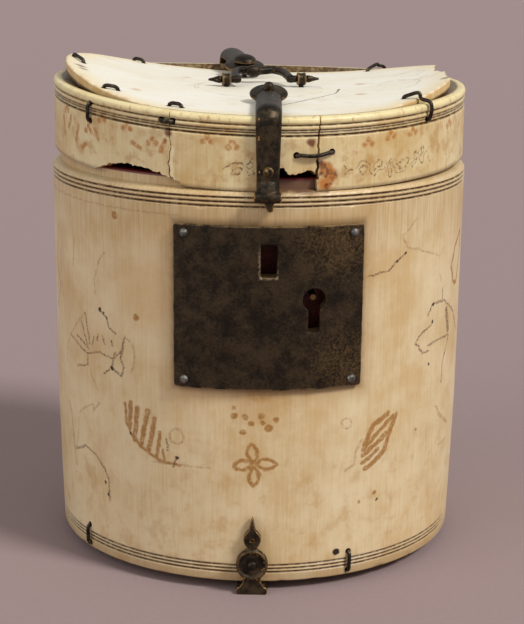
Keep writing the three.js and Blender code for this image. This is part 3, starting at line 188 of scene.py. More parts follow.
def ring_rise(x, y):
    """How far the ring's lower and upper edges have risen at a place."""
    side = (x / RING_RADIUS) ** 2
    level = RING_BACK_RISE * (1 + y / RING_RADIUS) / 2 - RING_TILT * x
    return side * RING_SIDE_RISE_BOTTOM + level, side * RING_SIDE_RISE_TOP + level


def ring_z(x, y, level):
    """The real height of a point whose height at the front would be level."""
    low, high = ring_rise(x, y)
    share = (level - RING_BOTTOM) / (RING_TOP - RING_BOTTOM)
    return level + low + (high - low) * share


def ring_level(x, y, z):
    low, high = ring_rise(x, y)
    height = RING_TOP - RING_BOTTOM
    return RING_BOTTOM + (z - RING_BOTTOM - low) * height / (height + high - low)


def disc_top(x, y):
    share = np.abs(x) / DISC_RADIUS
    bow = share**DISC_BOW_POWER * np.where(np.asarray(x) < 0, DISC_BOW_LEFT, DISC_BOW_RIGHT)
    crown = DISC_CROWN * (np.asarray(y) / DISC_RADIUS) ** 2
    pitch = DISC_END_PITCH * np.abs(x) * y
    return DISC_CENTRE_TOP + bow - crown + pitch - DISC_TILT * x


def rim_top(angle):
    p = at(angle, RING_RADIUS, 0)
    return float(ring_z(p.x, p.y, RING_TOP))


def turned(angle):
    return Matrix.Rotation(angle * DEGREE, 4, "Z")


def radial_frame(angle, out, z):
    """X runs round the box, Y up and Z outwards."""
    return turned(angle) @ Matrix.Translation((0, -out, z)) @ UPRIGHT


# Meshes
def linked(name, data):
    """An object over data, put into the scene."""
    made = bpy.data.objects.new(name, data)
    bpy.context.scene.collection.objects.link(made)
    return made


def mesh_object(name, vertices, faces):
    mesh = bpy.data.meshes.new(name)
    mesh.from_pydata([tuple(v) for v in np.asarray(vertices, float) * MM], [], faces)
    tidy = bmesh.new()
    tidy.from_mesh(mesh)
    bmesh.ops.remove_doubles(tidy, verts=tidy.verts, dist=MERGE_DISTANCE)
    bmesh.ops.recalc_face_normals(tidy, faces=tidy.faces)
    tidy.to_mesh(mesh)
    tidy.free()
    return linked(name, mesh)


def bake_modifiers(piece):
    graph = bpy.context.evaluated_depsgraph_get()
    mesh = bpy.data.meshes.new_from_object(piece.evaluated_get(graph))
    piece.modifiers.clear()
    piece.data = mesh


def combine(piece, tools, operation):
    """Cuts or joins closed meshes, and removes the tools."""
    for tool in tools:
        step = piece.modifiers.new("step", "BOOLEAN")
        step.object = tool
        step.operation = operation
        step.solver = "MANIFOLD"
    bake_modifiers(piece)
    for tool in tools:
        bpy.data.objects.remove(tool)
    return piece


def remesh(piece, voxel):
    step = piece.modifiers.new("remesh", "REMESH")
    step.mode = "VOXEL"
    step.voxel_size = voxel * MM


def cast(name, shapes, voxel=CASTING_VOXEL, smoothing=2):
    """Melts overlapping shapes into one skin with softened edges, as cast and worn metal has."""
    whole = bmesh.new()
    for shape in shapes:
        whole.from_mesh(shape.data)
        bpy.data.objects.remove(shape)
    mesh = bpy.data.meshes.new(name)
    whole.to_mesh(mesh)
    whole.free()
    piece = linked(name, mesh)
    remesh(piece, voxel)
    soften = piece.modifiers.new("soften", "SMOOTH")
    soften.iterations = smoothing
    bake_modifiers(piece)
    return piece


def grid_faces(columns, rows, wrap_columns=True, wrap_rows=True):
    faces = []
    for i in range(columns if wrap_columns else columns - 1):
        for j in range(rows if wrap_rows else rows - 1):
            k, m = (i + 1) % columns, (j + 1) % rows
            faces.append((i * rows + j, k * rows + j, k * rows + m, i * rows + m))
    return faces


def skinned(name, vertices, count):
    """A closed mesh over rings of count points each, one ring after another."""
    faces = grid_faces(len(vertices) // count, count, wrap_columns=False)
    faces += [tuple(range(count)), tuple(range(len(vertices) - count, len(vertices)))]
    return mesh_object(name, vertices, faces)


def lathe(name, profile, columns=ROUND_COLUMNS, shape=None):
    """Turns a closed profile of (radius, height) about Z; shape moves the finished points."""
    profile = np.asarray(profile, float)
    angles = np.arange(columns) * 2 * math.pi / columns
    radius, height = profile[:, 0][None, :], profile[:, 1][None, :]
    sines, cosines = np.sin(angles)[:, None], np.cos(angles)[:, None]
    points = np.stack([radius * sines, -radius * cosines, height + 0 * sines], axis=-1)
    if shape:
        points = shape(points)
    on_axis = profile[0, 0] == 0
    faces = grid_faces(columns, len(profile), wrap_rows=not on_axis)
    return mesh_object(name, points.reshape(-1, 3), faces)


def path_through(points, step):
    """A smooth curve through given points, in even steps."""
    points = [Vector(p) for p in points]
    ends = [2 * points[0] - points[1], *points, 2 * points[-1] - points[-2]]
    fine = []
    for a, b, c, d in zip(ends, ends[1:], ends[2:], ends[3:]):
        for t in np.linspace(0, 1, 24, endpoint=False):
            cubic = (3 * b - a - 3 * c + d) * t**3
            fine.append(0.5 * ((2 * b) + (c - a) * t + (2 * a - 5 * b + 4 * c - d) * t**2 + cubic))
    fine.append(points[-1])
    fine = np.array([tuple(p) for p in fine])
    lengths = np.r_[0, np.cumsum(np.linalg.norm(np.diff(fine, axis=0), axis=1))]
    count = max(3, int(round(lengths[-1] / step)) + 1)
    marks = np.linspace(0, lengths[-1], count)
    return np.stack([np.interp(marks, lengths, fine[:, i]) for i in range(3)], axis=1)


def sweep(name, path, section, side=None, scale=None):
    """Carries a closed section along a path. side is the section's first axis, if it is fixed."""
    path = np.asarray(path, float)
    tangents = np.gradient(path, axis=0)
    tangents /= np.linalg.norm(tangents, axis=1)[:, None]
    across = np.array(side if side is not None else Vector(tangents[0]).orthogonal().normalized())
    vertices = []
    for i, (point, tangent) in enumerate(zip(path, tangents)):
        across = across - tangent * np.dot(across, tangent)
        across /= np.linalg.norm(across)
        upward = np.cross(across, tangent)
        wide, deep = scale(i / (len(path) - 1)) if scale else (1, 1)
        for u, v in section:
            vertices.append(point + across * u * wide + upward * v * deep)
    return skinned(name, vertices, len(section))


def circle(radius, sides):
    turns = [2 * math.pi * i / sides for i in range(sides)]
    return [(radius * math.cos(t), radius * math.sin(t)) for t in turns]


def rectangle(x0, x1, y0, y1):
    return [(x0, y0), (x1, y0), (x1, y1), (x0, y1)]


def extruded(name, outline, low, high):
    """A prism over an outline in local X and Y, between two local heights."""
    count = len(outline)
    vertices = [(x, y, z) for z in (low, high) for x, y in outline]
    faces = [(i, (i + 1) % count, count + (i + 1) % count, count + i) for i in range(count)]
    faces += [tuple(range(count)), tuple(range(count, 2 * count))]
    return mesh_object(name, vertices, faces)


def moved(piece, matrix):
    """Moves a mesh by a matrix whose shift is in millimetres."""
    change = matrix.copy()
    change.translation = change.translation * MM
    piece.data.transform(change)
    return piece


def attribute(piece, name, values):
    layer = piece.data.attributes.new(name, "FLOAT", "POINT")
    layer.data.foreach_set("value", np.asarray(values, np.float32).ravel())


def vertex_array(piece):
    flat = np.zeros(len(piece.data.vertices) * 3, np.float32)
    piece.data.vertices.foreach_get("co", flat)
    return flat.reshape(-1, 3).astype(float) / MM


def place(piece, body, slot, materials, nodes, sharp=35):
    """Names the piece's body, the frame's nodes that it stands for and its materials. Its slot is not used.
    """
    mesh = piece.data
    mesh.materials.clear()
    for look in materials:
        mesh.materials.append(look)
    mesh.polygons.foreach_set("use_smooth", [True] * len(mesh.polygons))
    if sharp:
        mesh.set_sharp_from_angle(angle=sharp * DEGREE)
    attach(piece, body)
    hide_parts(*nodes)


def rough(points, scale, seed=0.0):
    """Smooth noise of about -1 to 1 at points, for irregular shapes."""
    shift = Vector((seed, seed, seed))
    return np.array([noise.noise(Vector(p) * scale + shift) for p in points])


def bell(offset, spread):
    return np.exp(-((offset / spread) ** 2))


def shared(points):
    """The points' own rows, which change with them, and how far each lies from the box's middle line."""
    flat = points.reshape(-1, 3)
    return flat, np.hypot(flat[:, 0], flat[:, 1])


# Materials
def colour(red, green, blue):
    """A colour given as it is seen on a screen, from 0 to 255."""
    def linear(value):
        share = value / 255
        return share / 12.92 if share <= 0.04045 else ((share + 0.055) / 1.055) ** 2.4

    return (linear(red), linear(green), linear(blue), 1.0)


class Look:
    """One material's nodes. Arguments are sockets, numbers or tuples."""

    def __init__(self, name):
        self.material = bpy.data.materials.new(name)
        self.material.use_nodes = True
        self.tree = self.material.node_tree
        self.shader = self.tree.nodes["Principled BSDF"]
        self.object = self.node("ShaderNodeTexCoord").outputs["Object"]

    def node(self, kind, **settings):
        made = self.tree.nodes.new(kind)
        for key, value in settings.items():
            setattr(made, key, value)
        return made

    def feed(self, socket, value):
        if isinstance(value, bpy.types.NodeSocket):
            self.tree.links.new(value, socket)
        else:
            socket.default_value = value

    def filled(self, kind, values, **settings):
        """A node with its first inputs filled in."""
        made = self.node(kind, **settings)
        for socket, value in zip(made.inputs, values):
            self.feed(socket, value)
        return made

    def named(self, kind, values, **settings):
        """A node with inputs filled in by their names."""
        made = self.node(kind, **settings)
        for key, value in values.items():
            self.feed(made.inputs[key], value)
        return made

    def math(self, operation, *values):
        return self.filled("ShaderNodeMath", values, operation=operation).outputs[0]

    def vector(self, operation, *values):
        made = self.filled("ShaderNodeVectorMath", values, operation=operation)
        single = operation in ("DISTANCE", "DOT_PRODUCT", "LENGTH")
        return made.outputs["Value" if single else "Vector"]

    def times(self, first, second):
        return self.math("MULTIPLY", first, second)

    def scaled(self, vector, factor):
        return self.vector("MULTIPLY", vector, factor)

    def millimetres(self):
        return self.scaled(self.object, (1 / MM, 1 / MM, 1 / MM))

    def apart(self, value, centre):
        return self.math("ABSOLUTE", self.math("SUBTRACT", value, centre))

    def beyond(self, value, middle, half):
        """How far a value lies outside a band round its middle."""
        return self.math("SUBTRACT", self.apart(value, middle), half)

    def smooth(self, value, low, high, start=0.0, end=1.0):
        values = {"Value": value, "From Min": low, "From Max": high, "To Min": start, "To Max": end}
        return self.named("ShaderNodeMapRange", values, interpolation_type="SMOOTHSTEP").outputs[0]

    def noise(self, vector, scale, detail=2.0, roughness=0.5, distortion=0.0):
        values = {"Vector": vector, "Scale": scale, "Detail": detail,
                  "Roughness": roughness, "Distortion": distortion}
        return self.named("ShaderNodeTexNoise", values).outputs["Fac"]

    def shaken(self, vector, scale, reach):
        """A vector that wanders from its place by up to about half the reach."""
        wander = self.named("ShaderNodeTexNoise", {"Vector": vector, "Scale": scale})
        shift = self.vector("SUBTRACT", wander.outputs["Color"], (0.5, 0.5, 0.5))
        return self.vector("ADD", vector, self.scaled(shift, reach))

    def mix(self, share, first, second):
        made = self.node("ShaderNodeMix", data_type="RGBA")
        colours = [socket for socket in made.inputs if socket.type == "RGBA"]
        self.feed(made.inputs[0], share)
        self.feed(colours[0], first)
        self.feed(colours[1], second)
        return [socket for socket in made.outputs if socket.type == "RGBA"][0]

    def tint(self, base, mask, strength, tone):
        """A base colour drawn towards a tone where a mask lies."""
        return self.mix(self.times(mask, strength), base, tone)

    def level(self, name):
        return self.node("ShaderNodeAttribute", attribute_name=name).outputs["Fac"]

    def parts(self, vector):
        return self.filled("ShaderNodeSeparateXYZ", [vector]).outputs

    def join(self, x, y):
        return self.filled("ShaderNodeCombineXYZ", (x, y)).outputs[0]

    def least(self, values):
        result = values[0]
        for value in values[1:]:
            result = self.math("MINIMUM", result, value)
        return result

    def finish(self, base, roughness, bump, depth, strength, metallic=0.0):
        self.feed(self.shader.inputs["Base Color"], base)
        self.feed(self.shader.inputs["Roughness"], roughness)
        self.feed(self.shader.inputs["Metallic"], metallic)
        made = self.node("ShaderNodeBump")
        made.inputs["Distance"].default_value = depth
        made.inputs["Strength"].default_value = strength
        self.feed(made.inputs["Height"], bump)
        self.feed(self.shader.inputs["Normal"], made.outputs[0])
        return self.material


# Painted ornament, in a plane of millimetres round the box and up it
ARC = RING_RADIUS * DEGREE  # one degree round the box


def unrolled(look, height):
    """A round face laid flat, in millimetres: the way round it and the height."""
    x, y, _ = look.parts(look.object)
    turn = look.math("ARCTAN2", x, look.times(y, -1.0))
    return look.join(look.times(turn, RING_RADIUS), height)


class Painting:
    """Distances from painted shapes on a flat face. Its places' first values are times the spread."""

    def __init__(self, look, flat, spread=ARC):
        self.look = look
        self.spread = spread
        self.point = look.shaken(flat, 0.55, (1.1, 1.1, 0.0))

    def flat(self, place):
        return (place[0] * self.spread, place[1], 0.0)

    def dot(self, centre, radius):
        away = self.look.vector("DISTANCE", self.point, self.flat(centre))
        return self.look.math("SUBTRACT", away, radius)

    def dots(self, table):
        return [self.dot(centre, radius) for centre, radius in table]

    def stroke(self, start, end, width):
        look = self.look
        a, b = Vector(self.flat(start)), Vector(self.flat(end))
        along = b - a
        reach = look.vector("SUBTRACT", self.point, tuple(a))
        share = look.vector("DOT_PRODUCT", reach, tuple(along / along.length_squared))
        share = look.math("MINIMUM", look.math("MAXIMUM", share, 0.0), 1.0)
        near = look.vector("SCALE", tuple(along))
        look.feed(near.node.inputs["Scale"], share)
        away = look.vector("DISTANCE", reach, near)
        return look.math("SUBTRACT", away, width / 2)

    def line(self, places, width):
        return [self.stroke(a, b, width) for a, b in zip(places, places[1:])]

    def lines(self, table):
        """Many lines, each given as its width and then its places."""
        return [stroke for width, *places in table for stroke in self.line(places, width)]

    def petal(self, tip, base, girth, width):
        """The outline of a pointed oval."""
        look = self.look
        a, b = Vector(self.flat(tip)), Vector(self.flat(base))
        middle, along = (a + b) / 2, (b - a).normalized()
        across = Vector((-along.y, along.x, 0))
        half = (b - a).length / 2
        radius = (half**2 + girth**2 / 4) / girth
        sides = []
        for sign in (-1, 1):
            centre = middle + across * sign * (radius - girth / 2)
            away = look.vector("DISTANCE", self.point, tuple(centre))
            sides.append(look.math("SUBTRACT", away, radius))
        edge = look.math("ABSOLUTE", look.math("MAXIMUM", *sides))
        return look.math("SUBTRACT", edge, width / 2)

    def ring(self, centre, radius, width):
        away = self.look.vector("DISTANCE", self.point, self.flat(centre))
        return self.look.beyond(away, radius, width / 2)

    def ink(self, distances, softness=0.3, fade=(0.25, 0.65), grain=0.9):
        """How strongly the shapes show: soft at their edges, and worn away in patches."""
        look = self.look
        shape = look.smooth(look.least(distances), softness, -softness / 2)
        wear = look.noise(self.point, grain, detail=4.0, roughness=0.7)
        return look.times(shape, look.smooth(wear, fade[0], fade[1], 0.1, 1.0))


def ivory_grain(look, millimetres, pale, deep):
    """Ivory with long fine streaks up it and clouds of a deeper tone."""
    streaks = look.noise(look.scaled(millimetres, (1.0, 1.0, 0.04)), 1.7, detail=4.0, roughness=0.65)
    clouds = look.noise(millimetres, 0.06, detail=5.0, roughness=0.65)
    tone = look.math("MULTIPLY_ADD", clouds, 0.85, look.times(streaks, 0.34))
    return look.mix(look.smooth(tone, 0.42, 0.82), pale, deep), streaks


def grooves_mask(look, height, centres, reach):
    return look.smooth(look.least([look.apart(height, z) for z in centres]), reach, reach * 0.15)


def specks(look, millimetres, scale, low, high):
    return look.smooth(look.noise(millimetres, scale, detail=3.0, roughness=0.6), low, high)


# The wall's ornament. Places are (angle, height), and a line is its width and then its places
WALL_DOTS = (
    ((-5.6, 46.6), 0.75), ((-2.8, 46.3), 0.7), ((-1.1, 44.7), 0.75), ((1.4, 46.5), 0.7), ((3.4, 43.6), 0.95),
    ((5.3, 45.7), 0.75), ((-3.3, 42.4), 0.7), ((1.8, 45), 0.5), ((-5.7, 48.6), 0.4), ((-29.6, 45), 0.8),
    ((-40, 94), 0.9), ((-33, 69), 0.8), ((29, 22), 0.35), ((34, 23.5), 0.5), ((48.9, 37.4), 0.35),
)
WALL_BEADS = (
    ((22.5, 9.2), 0.9), ((-46.3, 69), 0.55), ((-44.6, 68.4), 0.3), ((-43.6, 67.3), 0.3),
    ((-41.7, 54.6), 0.5), ((55.3, 69.6), 0.5), ((55.1, 65.1), 0.45), ((54, 54), 0.4),
    ((35, 21.5), 0.35), ((42.1, 84.9), 0.35), ((39, 83.3), 0.35), ((-45.6, 23), 0.35),
    ((-44.4, 20), 0.35), ((-35.2, 38.6), 0.3), ((-21, 34.6), 0.4),
)
PETAL_GIRTH = 2.5
PETAL_LINE = 0.75
FLOWER_PETALS = (((-5.6, 33.4), (-0.8, 34.3)), ((0.3, 34.4), (5.5, 34.1)), ((-0.9, 39.4), (-0.6, 34.8)),
                 ((-0.4, 33.4), (-0.3, 28.4)))
# Two striped leaves and a leaf at the right edge
BOLD_LINES = (
    (0.6, (-37, 46.3), (-36.6, 41.4), (-34.8, 38.2), (-32.1, 35.9), (-26.3, 32.9), (-20.4, 32.4)),
    (1.3, (-35.1, 46.6), (-35.5, 40.2)),
    (1.3, (-32.9, 45.6), (-33.9, 37.2)),
    (1.2, (-29.7, 44.8), (-31.9, 35.9)),
    (1.1, (-27.5, 43.7), (-29.3, 35.2)),
    (0.9, (-25.8, 40.3), (-26.9, 33.8)),
    (0.5, (-25, 36), (-24.7, 33)),
    (1.2, (40.6, 43.6), (38.4, 39.5), (36.8, 34.8), (34, 32.3), (30.6, 30.6)),
    (1.3, (37.5, 44.2), (32.4, 41.6), (30.1, 37)),
    (1.1, (39.2, 43.2), (34.2, 39.5), (29.8, 36)),
    (1.1, (37.1, 39), (33.9, 36.8), (29.6, 34.4)),
    (1.0, (34.4, 35.1), (29.3, 32.2)),
    (0.8, (76, 86), (70, 82.5), (66.8, 77.5), (69, 73), (72.6, 72), (76.5, 79), (76, 86)),
)
# Dark, broken lines: a spread palmette with a fork at the left, and a bud on a stem at the right
THIN_LINES = (
    (0.4, (-61.8, 59.2), (-52.5, 56.2)),
    (0.4, (-58, 60), (-51.5, 57.7)),
    (0.4, (-55.5, 64.4), (-52.2, 58.5)),
    (0.4, (-53.2, 66.8), (-51, 59)),
    (0.4, (-49.1, 61.3), (-49.9, 58.7)),
    (0.4, (-47.2, 62.3), (-47.7, 60.5)),
    (0.4, (-45.2, 62), (-44.4, 60.4)),
    (0.4, (-41.7, 61.5), (-41.4, 60.4)),
    (0.4, (-41.7, 54.6), (-45, 52.6)),
    (0.4, (60.5, 72.8), (60.8, 69.6)),
    (0.4, (-20.8, 34.6), (-22.3, 31.6)),
    (0.4, (-24, 38.9), (-23.5, 36.2)),
    (0.3, (-58, 51.6), (-52, 53.5), (-52.5, 56.2), (-46.4, 57.8), (-41, 56.9), (-38.4, 59.3)),
    (0.5, (-40.6, 58.6), (-41.7, 54.6), (-38.2, 53.2), (-37.4, 55.4), (-38.4, 57.7), (-37, 63.2)),
    (0.35, (-46.3, 69), (-43.6, 67.3), (-42.8, 65), (-40.1, 63.6)),
    (0.45, (-60.7, 28.2), (-54.6, 30.7), (-49.2, 29.4), (-46, 27), (-44.1, 24.2), (-43.9, 18.7)),
    (0.5, (52.7, 67.4), (55.3, 69.9), (61.6, 69.6), (69.9, 65.2), (76, 58.4)),
    (0.4, (54.8, 64.4), (49, 62.6), (47.5, 60.8), (50.4, 57.7), (53.6, 57.5)),
    (0.4, (53.3, 59.1), (60.1, 59.7), (66.7, 59.1), (62.5, 52.6), (62.2, 47.2)),
    (0.35, (29.7, 80.4), (36.1, 81.2), (38.9, 83.3), (42.1, 84.9)),
    (1.6, (64, 66.5), (66, 60.5)),
)
# The figures that are nearly worn away, and the ruled lines among them
FAINT_LINES = (
    (0.3, (-66, 51), (-64.8, 56), (-61.8, 59.6), (-53.4, 66.8)),
    (0.4, (-37, 63.8), (-34.2, 61.8), (-33.3, 58.6), (-34.7, 54.6)),
    (0.3, (-52, 53.5), (-49.8, 49.8), (-47.7, 47.3)),
    (0.35, (-58.5, 85.2), (-59.6, 78)),
    (0.35, (-43.8, 84), (-46, 82), (-48.5, 76.3), (-48.1, 72.7)),
    (0.9, (-72, 87), (-75, 76), (-70.6, 70), (-76, 64)),
    (0.7, (-70.3, 80), (-68.5, 68.7)),
    (0.8, (-64.7, 40.3), (-62.9, 37.5), (-61.6, 28), (-60.9, 23.9)),
    (0.4, (-57.9, 37.6), (-58.9, 32.1), (-61, 28)),
    (0.4, (-57.8, 39.2), (-52.4, 42.2), (-49.6, 43.2), (-50, 41.2), (-47.2, 44.2)),
    (0.35, (42.7, 86.4), (40.6, 89.4), (43.2, 90.9), (45.7, 93.3)),
    (0.3, (43, 86), (46.1, 85.4), (58, 82), (61, 84)),
    (0.3, (58.6, 77), (59.5, 74.6)),
    (0.9, (59, 41.8), (61.9, 38.4), (69, 34.5)),
    (0.4, (62.2, 29.8), (69.6, 30.3)),
    (0.7, (29.1, 38.6), (27.5, 35.6), (27.2, 32.5), (24.5, 30.8)),
)
FAINT_RINGS = (((-21, 40), 1.9), ((24.4, 43.5), 1.4))
FAINT_RING_LINE = 0.4
FAINT_RULES = ((0.3, (-28, 32.4), (-12, 32.8)), (0.2, (-90, 95.9), (-20, 95.9)))


def look_of_wall():
    look = Look("ivory_wall")
    point = look.millimetres()
    height = look.parts(point)[2]
    base, streaks = ivory_grain(look, point, colour(228, 208, 168), colour(208, 176, 124))
    painting = Painting(look, unrolled(look, height))

    # Stains: a soft mottle low at the front, and the tone under the moulding
    mottle = specks(look, point, 0.2, 0.48, 0.72)
    low = look.smooth(height, 58.0, 20.0, 0.15, 0.8)
    base = look.tint(base, look.times(mottle, low), 0.5, colour(186, 142, 80))
    beside = look.smooth(painting.dot((-30, 76), 2.0), 12.0, 0.0, 0.0, 0.35)
    base = look.mix(beside, base, colour(206, 158, 88))
    under = look.times(look.smooth(height, 80.0, 98.0), look.smooth(streaks, 0.35, 0.7, 0.4, 1.0))
    base = look.tint(base, under, 0.5, colour(176, 136, 74))
    pool = look.smooth(painting.dot((1, 50), 2.0), 8.0, 0.0)
    pool = look.times(pool, look.smooth(mottle, 0.0, 0.6, 0.5, 1.0))
    base = look.tint(base, pool, 0.6, colour(178, 128, 62))
    foot_dirt = look.smooth(height, 8.4, 3.0)
    base = look.tint(base, foot_dirt, 0.5, colour(140, 104, 58))

    # Painted shade round the lock plate, where it stands off the wall: a soft darker band and a dark one
    # close to its edges
    across = look.beyond(look.parts(painting.point)[0], LOCK_ANGLE * ARC, PLATE_HALF_ANGLE * ARC)
    upward = look.beyond(height, (PLATE_TOP + PLATE_BOTTOM) / 2, (PLATE_TOP - PLATE_BOTTOM) / 2)
    around = look.math("MAXIMUM", across, upward)
    base = look.mix(look.smooth(around, 6.0, 0.0, 0.0, 0.4), base, colour(168, 126, 68))
    base = look.mix(look.smooth(around, 2.0, -0.2, 0.0, 0.6), base, colour(98, 68, 34))

    # The painted figures: bold orange-brown ones, thin dark ones and nearly lost ones
    figures = painting.dots(WALL_DOTS)
    figures += [painting.petal(tip, base_end, PETAL_GIRTH, PETAL_LINE) for tip, base_end in FLOWER_PETALS]
    figures += painting.lines(BOLD_LINES)
    bold = painting.ink(figures, softness=0.35, fade=(0.2, 0.55))
    base = look.tint(base, bold, 0.9, colour(160, 108, 40))
    thin = painting.ink(painting.lines(THIN_LINES), softness=0.3, fade=(0.42, 0.56), grain=2.4)
    base = look.tint(base, thin, 0.95, colour(84, 50, 26))
    figures = painting.lines(FAINT_LINES)
    figures += [painting.ring(centre, radius, FAINT_RING_LINE) for centre, radius in FAINT_RINGS]
    figures += painting.lines(FAINT_RULES)
    faint = painting.ink(figures, fade=(0.35, 0.7), grain=1.2)
    base = look.tint(base, faint, 0.7, colour(146, 98, 48))
    beads = look.smooth(look.least(painting.dots(WALL_BEADS)), 0.25, -0.2)
    base = look.mix(beads, base, colour(42, 28, 18))

    # Dirt in the turned grooves, painted shade with a stain on the neck behind the ring's right-hand break,
    # and the red leather glued over the neck's top
    groove = grooves_mask(look, height, (*BASE_GROOVES, *MOULDING_GROOVES), 0.4)
    wear = look.noise(point, 0.9, detail=5.0)
    groove = look.times(groove, look.smooth(wear, 0.3, 0.58, 0.5, 1.0))
    base = look.mix(groove, base, colour(74, 46, 22))
    # Painted shade with a stain on the neck, seen through the ring's right-hand break
    behind = look.smooth(painting.stroke((0, 104), (17, 104), 4.0), 0.8, -0.4)
    base = look.tint(base, behind, 0.9, colour(96, 58, 42))
    base = look.mix(look.smooth(height, 104.4, 104.7), base, colour(104, 30, 24))
    rough_share = look.math("MULTIPLY_ADD", streaks, 0.18, 0.32)
    bump = look.math("MULTIPLY_ADD", streaks, 0.6, look.times(thin, -0.15))
    return look.finish(base, rough_share, bump, depth=0.00012, strength=0.5)


# The ring's marks, as (angle, height)
RING_CHIP = ((-22.1, 103.6), (-22.5, 107.5), (-22.3, 111))
RING_TREFOILS = (
    (-63.5, 114), (-51, 111), (-45, 114.5), (-36, 114), (-28, 111.5), (-13, 113.5),
    (-6.5, 112.5), (29, 112.5), (36, 113.5), (44, 113.5), (62, 113),
)
TREFOIL_DOTS = ((-1.1, 0), (1.1, 0.2), (0, 1.1))
TREFOIL_DOT_RADIUS = 0.6
RING_DABS = (
    (0.9, (-62, 110), (-60.5, 113)), (0.9, (-57.5, 108), (-56, 111.5)), (0.9, (-54, 106.5), (-52, 108)),
    (0.9, (-48, 112), (-46.5, 110)), (0.9, (-34, 111), (-31.5, 110)), (0.9, (-25.5, 110), (-24.5, 112)),
    (0.9, (-66, 112), (-65, 108)),
)
RING_RUST = (((17.4, 107.6), 1.4), ((18.4, 106), 1.6), ((17.2, 104), 1.4))
RING_BURNS = (
    ((13.3, 114), 1.0), ((-23.4, 114.6), 0.9), ((-24.2, 112.6), 0.3),
    ((16.0, 108.8), 0.7), ((17.4, 103.6), 0.5), ((15.9, 106.4), 0.5),
)
# Each scroll's first angle, last angle and height
LEFT_SCROLLS = (-9.0, -1.2, 108.5)
RIGHT_SCROLLS = (23.5, 52.0, 107.0)
SCROLL_PITCH = 8.0
SCROLL_SWING = 1.5
CURL_RADIUS = 0.9


def scrollwork(painting, start, end, height):
    """A faded running scroll between two angles: a waving stem with small curls in its bends."""
    look = painting.look
    x, y, _ = look.parts(look.shaken(painting.point, 0.16, (9.0, 6.0, 0.0)))
    phase = look.times(x, 2 * math.pi / SCROLL_PITCH)
    wave = look.math("MULTIPLY_ADD", look.math("SINE", phase), SCROLL_SWING, height)
    stem = look.beyond(y, wave, 0.16)
    cell = look.math("MODULO", look.math("ADD", x, 1000 * SCROLL_PITCH), SCROLL_PITCH)
    cell = look.math("SUBTRACT", cell, SCROLL_PITCH / 4)
    curls = []
    for across, upward in ((0.0, -0.4), (SCROLL_PITCH / 2, 0.4)):
        centre = (across, height + SCROLL_SWING * upward, 0.0)
        curls.append(look.vector("DISTANCE", look.join(cell, y), centre))
    curls = [look.beyond(away, CURL_RADIUS, 0.14) for away in curls]
    outside = look.beyond(x, (start + end) / 2 * ARC, (end - start) / 2 * ARC)
    return [look.math("MAXIMUM", look.least([stem, *curls]), outside)]


def look_of_ring():
    look = Look("ivory_ring")
    point = look.millimetres()
    height = look.level("level")
    base, streaks = ivory_grain(look, point, colour(232, 214, 168), colour(206, 172, 112))
    painting = Painting(look, unrolled(look, height))
    # Painted highlight: the rim's upper band drawn paler, then flecked with brown
    rim = look.smooth(height, 118.0, 118.6)
    base = look.tint(base, rim, 0.8, colour(238, 222, 168))
    brown = look.times(rim, specks(look, look.scaled(point, (1.0, 1.0, 0.4)), 0.9, 0.56, 0.7))
    base = look.tint(base, brown, 0.6, colour(168, 118, 58))
    stain = specks(look, point, 0.26, 0.48, 0.68)
    stain = look.times(stain, look.smooth(height, 120.0, 113.0, 0.45, 1.0))
    base = look.tint(base, stain, 0.5, colour(178, 126, 60))
    chip = look.smooth(look.least(painting.line(RING_CHIP, 0.7)), 0.3, -0.1)
    base = look.tint(base, chip, 0.8, colour(244, 226, 184))

    # Painted trefoils and dabs, and the scrolls
    marks = [
        painting.dot((angle + dx, z + dz), TREFOIL_DOT_RADIUS)
        for angle, z in RING_TREFOILS
        for dx, dz in TREFOIL_DOTS
    ]
    marks += painting.lines(RING_DABS)
    ink = painting.ink(marks, softness=0.5, fade=(0.3, 0.55))
    base = look.tint(base, ink, 0.85, colour(178, 112, 36))
    scrolls = [*scrollwork(painting, *LEFT_SCROLLS), *scrollwork(painting, *RIGHT_SCROLLS)]
    scrolls = painting.ink(scrolls, softness=0.25, fade=(0.42, 0.6), grain=1.4)
    base = look.tint(base, scrolls, 0.9, colour(88, 54, 30))

    # Rust and burns round the wires
    flecks = specks(look, point, 0.7, 0.45, 0.62)
    rust = look.times(look.smooth(look.least(painting.dots(RING_RUST)), 0.8, -0.3), 0.9)
    base = look.mix(rust, base, look.mix(flecks, colour(192, 118, 44), colour(112, 56, 24)))
    dark = look.smooth(look.least(painting.dots(RING_BURNS)), 0.5, -0.4)
    base = look.tint(base, dark, 0.9, colour(104, 44, 16))

    # Dirt in the grooves, painted shade along the lower edge, and painted shade with dirt on the inner side
    # round the disc
    deepest = grooves_mask(look, height, RING_GROOVES[:1], 0.46)
    others = grooves_mask(look, height, RING_GROOVES[1:], 0.36)
    groove = look.math("MAXIMUM", deepest, look.times(others, 0.9))
    wear = look.noise(point, 0.9, detail=5.0)
    groove = look.times(groove, look.smooth(wear, 0.3, 0.58, 0.5, 1.0))
    # Painted shade along the ring's lower edge, over the gap to the wall
    lower = look.smooth(height, 103.4, 102.3)
    base = look.mix(look.math("MAXIMUM", groove, look.times(lower, 0.5)), base, colour(70, 42, 20))
    x, y, _ = look.parts(point)
    out = look.vector("LENGTH", look.join(x, y))
    # Painted shade with dirt on the ring's inner side, in the gap round the disc
    inner = look.times(look.smooth(out, 52.7, 51.9), look.smooth(wear, 0.3, 0.6, 0.7, 1.0))
    base = look.mix(inner, base, colour(92, 64, 34))
    rough_share = look.math("MULTIPLY_ADD", streaks, 0.18, 0.3)
    return look.finish(base, rough_share, streaks, depth=0.00012, strength=0.5)


